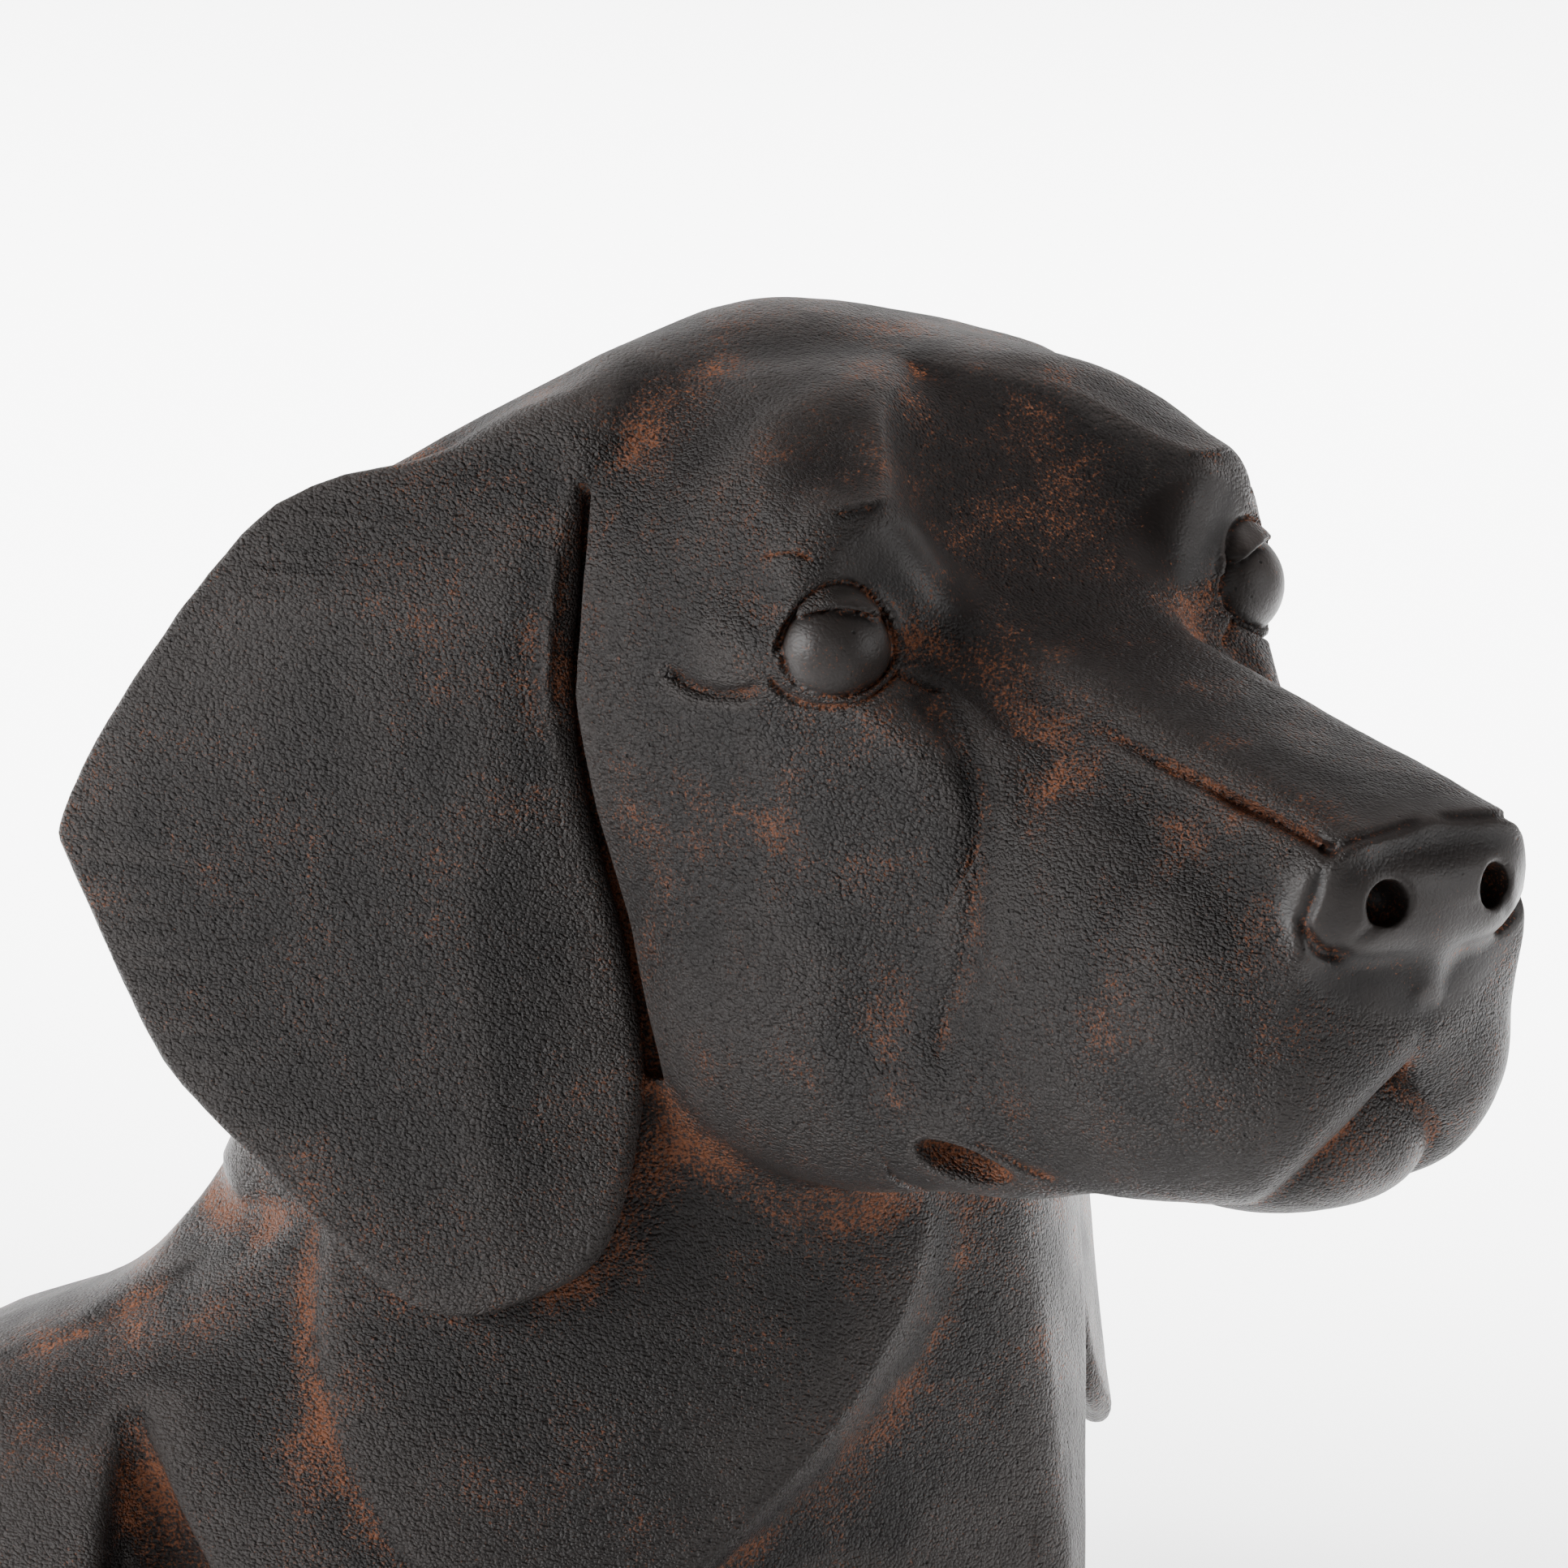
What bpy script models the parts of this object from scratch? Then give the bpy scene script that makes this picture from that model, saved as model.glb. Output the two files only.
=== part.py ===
"""Dog bust: head, neck and shoulders of a cast garden dog, cut flat below.

The bust is one solid casting.  Its form is a sculpted distance field: soft
masses are blended, carved facets are planed off, and the eyes, nostrils and
mouth are hollowed out.  The field is turned into a mesh, thinned out and cut
flat at the base.

The carving is given in parts, a hundredth of the head's length.  The head's
own axes are forward, left and up from the point midway between the eyes, and
the body's axes are the same from the point on the neck where the head turns.
In the world the body faces -Y, the dog's left is +X and up is +Z.
"""
from collections import namedtuple
from itertools import permutations
from math import cos, radians, sin

import bmesh
import bpy
import numpy as np

# Driving dimensions in metres and degrees
HEAD_LENGTH = 0.200
EYE_HEIGHT = 0.176
EAR_THICKNESS = 0.0042
EYEBALL_RADIUS = 0.0088
NOSTRIL_RADIUS = 0.0036
HEAD_TURN = 35.0

# Mesh density
FIELD_STEP = 0.0021
TRIANGLES = 9600

PART = HEAD_LENGTH / 100
NODE = "dog_bust"

Mass = namedtuple("Mass", "centre radii power blend")
Facet = namedtuple("Facet", "point normal blend")
Fold = namedtuple("Fold", "forward height bend softness depth")

# Soft masses of the head, right half, mirrored to the left
HEAD_MASSES = {
    "cranium": Mass((-26, 0, -2.6), (21.5, 25.5, 20.4), 2.5, 0),
    "back of skull": Mass((-34, 0, -8), (20, 24, 26.5), 2.0, 6),
    "brow": Mass((-6.6, 12.2, 0.2), (12.6, 10.9, 14.6), 2.9, 5),
    "jowl": Mass((-13, 7, -25), (20, 15.5, 20.5), 2.6, 8),
    "cheekbone": Mass((0, 7.5, -11), (13.5, 12, 14), 2.0, 5),
    "forehead": Mass((-9, 0, 0), (15, 12, 15), 2.0, 3),
    "temple": Mass((-17, 8.8, 3.4), (12, 11.6, 12.6), 2.2, 5),
    "mouth corner": Mass((2, 10, -37), (15, 8.5, 8), 2.2, 4),
}
MUZZLE_MASSES = {
    "front flew": Mass((30.2, 7.3, -25.6), (15.2, 9.5, 14.4), 2.0, 3),
    "rear flew": Mass((15, 8.5, -25), (18, 9.5, 15.5), 2.4, 5),
}

# Planed facets of the brow and cheek
BROW_CORNER = (0.3, 15.8, 11.0)
BROW_VALLEY = Facet(BROW_CORNER, (0.65, -0.53, 0.54), 0.5)
BROW_FRONT = Facet(BROW_CORNER, (0.961, 0.252, 0.112), 0.4)
BROW_TOP = Facet(BROW_CORNER, (0.283, 0.121, 0.951), 2.5)
BROW_FRONT_ZONE = Mass((6, 16, 5.3), (14, 9, 6.4), 6.0, 0.4)
FOREHEAD_BAND = Facet((4.2, 0, 0.4), (0.69, 0, 0.72), 1.5)
CHEEK_FACET = Facet((11.8, 16.2, -11), (0.352, 0.934, -0.063), 0.6)
CHEEK_ARC_CENTRE = (-1.8, -12.5)
CHEEK_ARC_RADIUS = 14.0
CHEEK_ARC_EDGE = 1.2
CHEEK_DEPTH = 1.2
CHEEK_FADE_UP = (-6.0, -1.0)
CHEEK_FADE_DOWN = (-24.0, -10.0)
CHEEK_FADE_BACK = (-18.0, -2.0)

# Bridge of the muzzle, cut by planes
MUZZLE_PLANES = (
    Facet((4.2, 0, 0.2), (0.21, 0, 1.0), 0),
    Facet((48, 10.0, -8.9), (0.13, 0.93, 0.25), 1.2),
    Facet((45.4, 0, -15), (1, 0, 0), 1.5),
    Facet((44.0, 8.4, -15), (0.72, 0.69, 0), 3.0),
    Facet((20, 0, -26), (-0.05, 0, -1), 6.0),
    Facet((-14, 0, 0), (-1, 0, 0), 4.0),
)
MUZZLE_BLEND = 2.5

# Nose pad, nostrils, philtrum, mouth and chin
NOSE_PAD = Mass((42.4, 0, -13.3), (5.6, 9.6, 4.9), 0, 0.8)
NOSE_PAD_ROUNDING = 2.8
NOSE_PAD_TAPER = Facet((44, 9.0, -14.5), (0, 0.88, -0.47), 2.5)
NOSE_PAD_PITCH = 8.0
SEPTUM_TOP = (44.4, 0, -15)
SEPTUM_FOOT = (44.4, 0, -21)
SEPTUM_RADII = (3.6, 1.6)
SEPTUM_BLEND = 3.0
NOSTRIL_MOUTH = (50, 5.5, -13.4)
NOSTRIL_END = (42, 4.0, -14.2)
NOSTRIL_TAPER = 0.75
NOSTRIL_BLEND = 0.6
PHILTRUM = ((48, 0, -17), (46.5, 0, -21), (46, 0, -27))
PHILTRUM_DEPTH = 0.9
PHILTRUM_WIDTH = 1.0
LIP_PARTING = -26.5
LIP_SPREAD = 0.8
LIP_GAP = 5.0
LIP_DEPTH = 30.0
LIP_BLEND = 1.5
CHIN = Mass((32.5, 0, -32.5), (9.0, 6.0, 6.0), 2.0, 0.5)
JAW_REAR = (-18, 4, -32)
JAW_FRONT = (34, 0, -32.5)
JAW_RADII = (10.5, 7.0)
JAW_BLEND = 2.0
LIP_POCKET = Mass((11.2, 17.0, -39.4), (4.6, 3.8, 1.8), 2.0, 0.8)
LIP_POCKET_PITCH = 12.0

# Eyes
EYE_CENTRE = (-1.4, 19.5, 0.0)
GAZE = (0.80, 0.58, 0.06)
LID_THICKNESS = 1.0
LID_SETBACK = 0.5
LID_BLEND = 2.0
EYE_OPENING = (0.3, 0.2, 0.1)
LID_EDGE = 0.6
EYE_RIM_BLEND = 0.4
EYE_GROOVE_FILLET = 0.6
EYE_BAG = Mass((-10.7, 20.6, -1.5), (4.5, 3.4, 3.6), 2.0, 1.5)

# Ears: outline along the flap's width and the head's up axis
EAR_ROOT = (-26.3, 25.0)
EAR_DIRECTION = (-0.88, 0.475)
EAR_TOP = 14.0
EAR_OUTLINE = (
    (1, 14), (12, 10.5), (26.4, 5.7), (38.8, -10), (44.4, -20), (43.5, -25),
    (35.4, -39), (26.4, -47), (16.1, -55), (10.6, -57), (5.1, -56), (-1.4, -52),
    (-3.6, -42), (-3.6, -35.5), (-1.7, -26), (0.7, -16.5), (1.7, -7), (1, 2.7),
)
EAR_FOLD = ((-33, 16, 7.6), (-46, 31.0, 3.2), (8.0, 4.2))
EAR_BASE = Mass((-40, 17.0, -3), (13, 9.5, 12), 2.2, 6.0)
EAR_BLEND = 1.5
EAR_EDGE_ROUNDNESS = 0.9
EAR_FOLD_BLEND = 7.0
EAR_FLARE_FROM = -20.0
EAR_FLARE_SPAN = 40.0
EAR_TUCK_FROM = -2.0
EAR_TUCK_SPAN = 16.0
EAR_TUCK = 3.0
# Side, stretch downwards, flare of the hem and drop of the right and the left ear
EARS = ((-1, 1.0, 3.0, 0.0), (1, 1.22, 1.4, 1.8))

# Neck: height, back, front, half width
NECK_ROWS = (
    (2, -14, 12, 15), (-10, -20, 18, 20), (-25, -29, 24, 23), (-38, -34.5, 27, 24),
    (-50, -40, 27.5, 25.5), (-58, -43.5, 28, 27.5), (-68, -46, 28.5, 30), (-88, -48, 29, 33),
)
NECK_ROUNDNESS = 2.3
NECK_TOP_BLEND = 10.0
NECK_BLEND = 4.0
NECK_SMOOTHING = 14
# Facets of the neck, each with the curved fold where it starts
THROAT_FACET = Facet((20.6, 14.6, -56), (0.724, 0.687, -0.077), 1.0)
THROAT_FOLD = Fold(22.5, -49, -0.0205, 1.5, 12)
NAPE_FACET = Facet((-35.6, 15.4, -61.5), (-0.547, 0.836, 0.025), 1.0)
NAPE_FOLD = Fold(-26.5, -55, 0.024, -1.2, 2.5)
SHOULDERS = Mass((-33, 0, -92), (44, 34, 29), 2.6, 12.0)
SHOULDER_HOLLOW = ((-41, 26, -69), (-34, 33.5, -90), (0.5, 8.5))
SHOULDER_HOLLOW_BLEND = 1.0
TURN_AXIS = 40.0

# Box that holds the whole bust, in the body's axes
FIELD_LOW = (-80.0, -60.0)
FIELD_HIGH = (80.0, 66.0)
FIELD_TOP = 27.0
BELOW_CUT = 3.0


def remove_objects():
    """Clears the objects that a new file brings."""
    for thing in list(bpy.data.objects):
        bpy.data.objects.remove(thing, do_unlink=True)


def column(values):
    """A point or direction as a column that broadcasts over many points."""
    return np.array(values, dtype=np.float32)[:, None]


def superellipsoid(points, mass):
    """Signed distance, nearly, to an ellipsoid with a power of its own."""
    radii = column(mass.radii)
    share = np.abs(points - column(mass.centre)) / radii + 1e-4
    reach = (share ** mass.power).sum(0) ** (1 / mass.power)
    slope = np.sqrt(((share ** (mass.power - 1) / radii) ** 2).sum(0))
    return (reach - 1) / (slope * reach ** (1 - mass.power))


def tapered_rod(points, start, end, radii):
    """Signed distance to a rod with round ends and two radii."""
    start, end = column(start), column(end)
    along = end - start
    share = np.clip(((points - start) * along).sum(0) / (along * along).sum(), 0, 1)
    gap = points - start - along * share
    return np.sqrt((gap * gap).sum(0)) - (radii[0] + (radii[1] - radii[0]) * share)


def rounded_box(points, mass, rounding):
    """Signed distance to a box with rounded edges."""
    gap = np.abs(points - column(mass.centre)) - (column(mass.radii) - rounding)
    outside = np.sqrt((np.maximum(gap, 0) ** 2).sum(0))
    return outside + np.minimum(gap.max(0), 0) - rounding


def beyond(points, facet):
    """Signed distance in front of a facet's plane."""
    normal = np.array(facet.normal) / np.linalg.norm(facet.normal)
    return (points * column(normal)).sum(0) - float(normal @ np.array(facet.point))


def union(first, second, blend=0.0):
    """Joins two solids, with a fillet as wide as the blend."""
    if blend == 0:
        return np.minimum(first, second)
    share = np.clip(0.5 + 0.5 * (second - first) / blend, 0, 1)
    return second + (first - second) * share - blend * share * (1 - share)


def overlap(first, second, blend=0.0):
    """Keeps what two solids share, with a rounded edge."""
    return -union(-first, -second, blend)


def carve(solid, tool, blend=0.0):
    """Takes a tool's shape out of a solid."""
    return -union(-solid, tool, blend)


def pitched(points, centre, degrees):
    """Points turned about a centre, so that a shape there noses down."""
    turn, place = radians(degrees), column(centre)
    forward, left, up = points - place
    turned = (forward * cos(turn) - up * sin(turn), left, forward * sin(turn) + up * cos(turn))
    return np.stack(turned) + place


def to_head(points):
    """Points of the body's axes in the turned head's axes."""
    turn = radians(HEAD_TURN)
    forward, left, up = points
    return np.stack((
        forward * cos(turn) - left * sin(turn) - TURN_AXIS,
        forward * sin(turn) + left * cos(turn),
        up,
    ))


def skull(points):
    """Cranium, brows, cheeks and jowls with their planed facets."""
    solid = None
    for name, mass in HEAD_MASSES.items():
        shape = superellipsoid(points, mass)
        if name == "brow":
            shape = overlap(shape, beyond(points, BROW_TOP), BROW_TOP.blend)
        solid = shape if solid is None else union(solid, shape, mass.blend)
    valley = overlap(solid, beyond(points, BROW_VALLEY), BROW_VALLEY.blend)
    band = overlap(solid, beyond(points, FOREHEAD_BAND), FOREHEAD_BAND.blend)
    solid = union(valley, band, FOREHEAD_BAND.blend)
    zone = superellipsoid(points, BROW_FRONT_ZONE)
    tool = overlap(zone, -beyond(points, BROW_FRONT), BROW_FRONT.blend)
    return carve(solid, tool, BROW_FRONT_ZONE.blend)


def muzzle(points):
    """Flat bridge of the muzzle with the hanging flews."""
    solid = beyond(points, MUZZLE_PLANES[0])
    for facet in MUZZLE_PLANES[1:]:
        solid = overlap(solid, beyond(points, facet), facet.blend)
    for mass in MUZZLE_MASSES.values():
        solid = union(solid, superellipsoid(points, mass), mass.blend)
    return solid


def fade(values, start, end):
    """Runs smoothly from 0 at the start to 1 at the end."""
    share = np.clip((values - start) / (end - start), 0, 1)
    return share * share * (3 - 2 * share)


def carve_cheek(solid, points):
    """Planes the cheek below the eye, up to an arc towards the muzzle."""
    forward, _, up = points
    reach = np.hypot(np.maximum(forward - CHEEK_ARC_CENTRE[0], 0), up - CHEEK_ARC_CENTRE[1])
    inside_arc = fade(reach, CHEEK_ARC_RADIUS, CHEEK_ARC_RADIUS - CHEEK_ARC_EDGE)
    share = inside_arc * (1 - fade(up, *CHEEK_FADE_UP)) * fade(up, *CHEEK_FADE_DOWN)
    share = share * fade(forward, *CHEEK_FADE_BACK)
    planed = overlap(solid, beyond(points, CHEEK_FACET), CHEEK_FACET.blend)
    return solid + np.minimum(planed - solid, CHEEK_DEPTH) * share


def nose_and_mouth(solid, points):
    """Adds the nose pad and the chin, and parts the lips."""
    pad = rounded_box(pitched(points, NOSE_PAD.centre, NOSE_PAD_PITCH), NOSE_PAD, NOSE_PAD_ROUNDING)
    pad = overlap(pad, beyond(points, NOSE_PAD_TAPER), NOSE_PAD_TAPER.blend)
    septum = tapered_rod(points, SEPTUM_TOP, SEPTUM_FOOT, SEPTUM_RADII)
    solid = union(solid, union(pad, septum, SEPTUM_BLEND), NOSE_PAD.blend)
    solid = union(solid, tapered_rod(points, JAW_REAR, JAW_FRONT, JAW_RADII), JAW_BLEND)
    forward, aside, up = points
    steep = 1 / np.hypot(1, LIP_SPREAD)
    gap = (aside - np.minimum(LIP_SPREAD * (LIP_PARTING - up), LIP_GAP)) * steep
    gap = np.maximum(np.maximum(gap, LIP_DEPTH - forward), up - LIP_PARTING)
    solid = carve(solid, gap, LIP_BLEND)
    solid = union(solid, superellipsoid(points, CHIN), CHIN.blend)
    for start, end in zip(PHILTRUM[:-1], PHILTRUM[1:]):
        groove = tapered_rod(points, start, end, (PHILTRUM_WIDTH, PHILTRUM_WIDTH))
        solid = carve(solid, groove, PHILTRUM_DEPTH)
    mouth = NOSTRIL_RADIUS / PART
    nostril = tapered_rod(points, NOSTRIL_MOUTH, NOSTRIL_END, (mouth, mouth * NOSTRIL_TAPER))
    solid = carve(solid, nostril, NOSTRIL_BLEND)
    pocket = superellipsoid(pitched(points, LIP_POCKET.centre, LIP_POCKET_PITCH), LIP_POCKET)
    return carve(solid, pocket, LIP_POCKET.blend)


def eyes(solid, points):
    """Lids as a shell round each eyeball, with a rounded opening."""
    ball = EYEBALL_RADIUS / PART
    gaze = np.array(GAZE) / np.linalg.norm(GAZE)
    across = np.cross((0, 0, 1), gaze)
    across /= np.linalg.norm(across)
    upward = np.cross(gaze, across)
    gap = points - column(EYE_CENTRE)
    ahead, wide, high = ((gap * column(axis)).sum(0) for axis in (gaze, across, upward))
    lid_centre = np.array(EYE_CENTRE) - gaze * LID_SETBACK
    lids = Mass(lid_centre, (ball + LID_THICKNESS,) * 3, 2.0, LID_BLEND)
    solid = union(solid, superellipsoid(points, lids), lids.blend)
    side, top, bottom = (ball + extra for extra in EYE_OPENING)
    height = np.where(high > 0, top, bottom)
    rim = (np.sqrt((wide / side) ** 2 + (high / height) ** 2) - 1) * bottom
    solid = carve(solid, np.maximum(rim, LID_EDGE - ahead), EYE_RIM_BLEND)
    solid = union(solid, superellipsoid(points, EYE_BAG), EYE_BAG.blend)
    return union(solid, np.sqrt((gap * gap).sum(0)) - ball, EYE_GROOVE_FILLET)


def smooth_loop(corners, steps=4):
    """A closed curve through the corners, as many short sides."""
    corners = np.array(corners, dtype=float)
    before, after, beyond_next = (np.roll(corners, shift, 0) for shift in (1, -1, -2))
    curve = []
    for share in np.arange(steps) / steps:
        curve.append(0.5 * (
            2 * corners + (after - before) * share
            + (2 * before - 5 * corners + 4 * after - beyond_next) * share ** 2
            + (3 * corners - before - 3 * after + beyond_next) * share ** 3
        ))
    return np.stack(curve, 1).reshape(-1, 2)


def loop_distance(x, y, loop):
    """Signed distance to a closed loop in its plane."""
    nearest = np.full(x.shape, np.inf, dtype=np.float32)
    inside = np.zeros(x.shape, dtype=bool)
    for (ax, ay), (bx, by) in zip(loop, np.roll(loop, -1, 0)):
        ex, ey = bx - ax, by - ay
        wx, wy = x - ax, y - ay
        share = np.clip((wx * ex + wy * ey) / (ex * ex + ey * ey), 0, 1)
        nearest = np.minimum(nearest, (wx - ex * share) ** 2 + (wy - ey * share) ** 2)
        if ay != by:
            inside ^= ((ay <= y) != (by <= y)) & (wx < ex * wy / ey)
    return np.sqrt(nearest) * np.where(inside, -1, 1)


def ear_flap(points, stretch, flare):
    """One hanging ear: a thin plate with a round edge and a flared hem."""
    forward, left, up = points[0] - EAR_ROOT[0], points[1] - EAR_ROOT[1], points[2]
    along = forward * EAR_DIRECTION[0] + left * EAR_DIRECTION[1]
    outward = forward * EAR_DIRECTION[1] - left * EAR_DIRECTION[0]
    height = np.where(up < EAR_TOP, EAR_TOP + (up - EAR_TOP) / stretch, up)
    edge = loop_distance(along, height, smooth_loop(EAR_OUTLINE))
    hem = np.clip((EAR_FLARE_FROM - up) / EAR_FLARE_SPAN, 0, 2)
    tuck = np.clip((up - EAR_TUCK_FROM) / EAR_TUCK_SPAN, 0, 1.5)
    outward = outward - flare * hem ** 2 + EAR_TUCK * tuck ** 2
    half = EAR_THICKNESS / PART / 2
    rounding = EAR_EDGE_ROUNDNESS * half
    edge = edge + rounding
    face = np.abs(outward) - (half - rounding)
    outside = np.hypot(np.maximum(edge, 0), np.maximum(face, 0))
    return outside + np.minimum(np.maximum(edge, face), 0) - rounding


def ears(solid, points):
    """Both ears with the roots that carry them."""
    for side, stretch, flare, drop in EARS:
        sided = np.stack((points[0], points[1] * side, points[2] + drop))
        solid = union(solid, superellipsoid(sided, EAR_BASE), EAR_BASE.blend)
        solid = union(solid, tapered_rod(sided, *EAR_FOLD), EAR_FOLD_BLEND)
        solid = union(solid, ear_flap(sided, stretch, flare), EAR_BLEND)
    return solid


def neck(points):
    """Neck as one rounded section at each height, planed, on the shoulders."""
    rows = np.array(NECK_ROWS[::-1], dtype=float)
    heights = np.linspace(rows[0, 0], rows[-1, 0], 200)
    kernel = np.exp(-np.linspace(-2, 2, 2 * NECK_SMOOTHING + 1) ** 2)
    kernel /= kernel.sum()
    sizes = []
    for values in rows[:, 1:].T:
        line = np.interp(heights, rows[:, 0], values)
        line = np.convolve(np.pad(line, NECK_SMOOTHING, mode="edge"), kernel, mode="valid")
        sizes.append(np.interp(points[2], heights, line).astype(np.float32))
    back, front, half_width = sizes
    half_depth = (front - back) / 2
    share = np.abs((points[0] - (front + back) / 2) / half_depth) ** NECK_ROUNDNESS
    share += np.abs(points[1] / half_width) ** NECK_ROUNDNESS
    section = (share ** (1 / NECK_ROUNDNESS) - 1) * np.minimum(half_depth, half_width)
    solid = overlap(section, points[2] - rows[-1, 0], NECK_TOP_BLEND)
    sides = np.stack((points[0], np.abs(points[1]), points[2]))
    for facet, fold in ((THROAT_FACET, THROAT_FOLD), (NAPE_FACET, NAPE_FOLD)):
        cut = overlap(solid, beyond(sides, facet), facet.blend) - solid
        line = fold.forward + fold.bend * np.maximum(fold.height - sides[2], 0) ** 2
        solid += np.minimum(cut, fold.depth) * fade(sides[0] - line, -fold.softness, fold.softness)
    solid = union(solid, superellipsoid(points, SHOULDERS), SHOULDERS.blend)
    return carve(solid, tapered_rod(sides, *SHOULDER_HOLLOW), SHOULDER_HOLLOW_BLEND)


def bust_field(points):
    """Signed distance to the whole bust, in parts, in the body's axes."""
    in_head = to_head(points)
    half_head = np.stack((in_head[0], np.sqrt(in_head[1] ** 2 + 0.05), in_head[2]))
    solid = union(skull(half_head), muzzle(half_head), MUZZLE_BLEND)
    solid = carve_cheek(solid, half_head)
    solid = nose_and_mouth(solid, half_head)
    solid = eyes(solid, half_head)
    solid = union(solid, neck(points), NECK_BLEND)
    return ears(solid, in_head)


def sample_field(low, high, step):
    """Field values on a grid, worked out in slices to save memory."""
    counts = np.ceil((np.array(high) - np.array(low)) / step).astype(int) + 1
    axes = [np.float32(start) + step * np.arange(count, dtype=np.float32) for start, count in zip(low, counts)]
    values = np.empty(counts, dtype=np.float32)
    for index, forward in enumerate(axes[0]):
        left, up = np.meshgrid(axes[1], axes[2], indexing="ij")
        points = np.stack((np.full(left.size, forward, dtype=np.float32), left.ravel(), up.ravel()))
        values[index] = bust_field(points).reshape(left.shape)
    return values


def polygonise(values, low, step):
    """Marching tetrahedra: a closed mesh where the field is zero."""
    still = 0.02 * step
    values = np.where(np.abs(values) < still, np.where(values < 0, -still, still), values)
    shape = np.array(values.shape)
    strides = np.array((shape[1] * shape[2], shape[2], 1))
    inside = values < 0
    corner_sum = sum(
        inside[i:shape[0] - 1 + i, j:shape[1] - 1 + j, k:shape[2] - 1 + k].astype(np.int8)
        for i in (0, 1) for j in (0, 1) for k in (0, 1)
    )
    cells = np.argwhere((corner_sum > 0) & (corner_sum < 8)) @ strides
    flat_inside, flat_values = inside.ravel(), values.ravel()
    pairs, solid_side = [], []
    for order in permutations(strides):
        corners = cells[:, None] + np.concatenate(((0,), np.cumsum(order)))
        buried = flat_inside[corners]
        for count in (1, 2, 3):
            chosen = corners[buried.sum(1) == count]
            sorted_corners = np.take_along_axis(chosen, np.argsort(~flat_inside[chosen], axis=1, kind="stable"), 1)
            within, without = sorted_corners[:, :count], sorted_corners[:, count:]
            if count == 1:
                faces = [[(0, 0), (0, 1), (0, 2)]]
            elif count == 3:
                faces = [[(0, 0), (1, 0), (2, 0)]]
            else:
                faces = [[(0, 0), (0, 1), (1, 1)], [(0, 0), (1, 1), (1, 0)]]
            for face in faces:
                pairs.append(np.stack([np.stack((within[:, a], without[:, b]), 1) for a, b in face], 1))
                solid_side.append(within[:, 0])
    pairs, solid_side = np.concatenate(pairs), np.concatenate(solid_side)
    keys, faces = np.unique(pairs[..., 0] * shape.prod() + pairs[..., 1], return_inverse=True)
    faces = faces.reshape(-1, 3)
    ends = np.stack((keys // shape.prod(), keys % shape.prod()))
    places = np.stack(np.unravel_index(ends, shape), -1).astype(float)
    weight = flat_values[ends[0]] / (flat_values[ends[0]] - flat_values[ends[1]])
    vertices = places[0] + (places[1] - places[0]) * weight[:, None]
    corners = vertices[faces]
    normals = np.cross(corners[:, 1] - corners[:, 0], corners[:, 2] - corners[:, 0])
    anchor = np.stack(np.unravel_index(solid_side, shape), -1)
    wrong = ((corners[:, 0] - anchor) * normals).sum(1) < 0
    faces[wrong] = faces[wrong][:, ::-1]
    return vertices * step + np.array(low), faces


def to_world(vertices):
    """From parts in the body's axes to metres, with the flat cut at zero height."""
    forward, left, up = vertices.T * PART
    return np.stack((left, -forward, up + EYE_HEIGHT), 1)


def thin_out(source):
    """Thins a dense mesh to the wanted number of triangles."""
    carrier = bpy.data.objects.new("dense_bust", source)
    bpy.context.scene.collection.objects.link(carrier)
    decimate = carrier.modifiers.new("Thin out", "DECIMATE")
    decimate.ratio = TRIANGLES / len(source.polygons)
    bpy.context.view_layer.update()
    evaluated = carrier.evaluated_get(bpy.context.evaluated_depsgraph_get())
    thinned = bpy.data.meshes.new_from_object(evaluated)
    bpy.data.objects.remove(carrier, do_unlink=True)
    return thinned


def cut_flat(mesh):
    """Cuts the mesh flat at zero height and closes it with a flat face."""
    shape = bmesh.new()
    shape.from_mesh(mesh)
    everything = shape.verts[:] + shape.edges[:] + shape.faces[:]
    cut = bmesh.ops.bisect_plane(
        shape, geom=everything, dist=1e-6, plane_co=(0, 0, 0), plane_no=(0, 0, -1), clear_outer=True)
    rim = [item for item in cut["geom_cut"] if isinstance(item, bmesh.types.BMEdge)]
    bmesh.ops.contextual_create(shape, geom=rim)
    bmesh.ops.remove_doubles(shape, verts=shape.verts[:], dist=2e-5)
    bmesh.ops.triangulate(shape, faces=shape.faces[:])
    bmesh.ops.recalc_face_normals(shape, faces=shape.faces[:])
    shape.to_mesh(mesh)
    shape.free()


def centre_on_base(mesh):
    """Moves the mesh so that its origin is the middle of its underside."""
    places = np.empty(len(mesh.vertices) * 3, dtype=np.float32)
    mesh.vertices.foreach_get("co", places)
    places = places.reshape(-1, 3)
    middle = (places.min(0) + places.max(0)) / 2
    places[:, :2] -= middle[:2]
    mesh.vertices.foreach_set("co", places.ravel())
    mesh.update()


def cast_finish():
    """Dark brown-black casting with a satin wash."""
    finish = bpy.data.materials.new("dark_cast")
    finish.use_nodes = True
    shader = finish.node_tree.nodes["Principled BSDF"]
    shader.inputs["Base Color"].default_value = (0.022, 0.017, 0.014, 1)
    shader.inputs["Roughness"].default_value = 0.5
    shader.inputs["Metallic"].default_value = 0.0
    return finish


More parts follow.
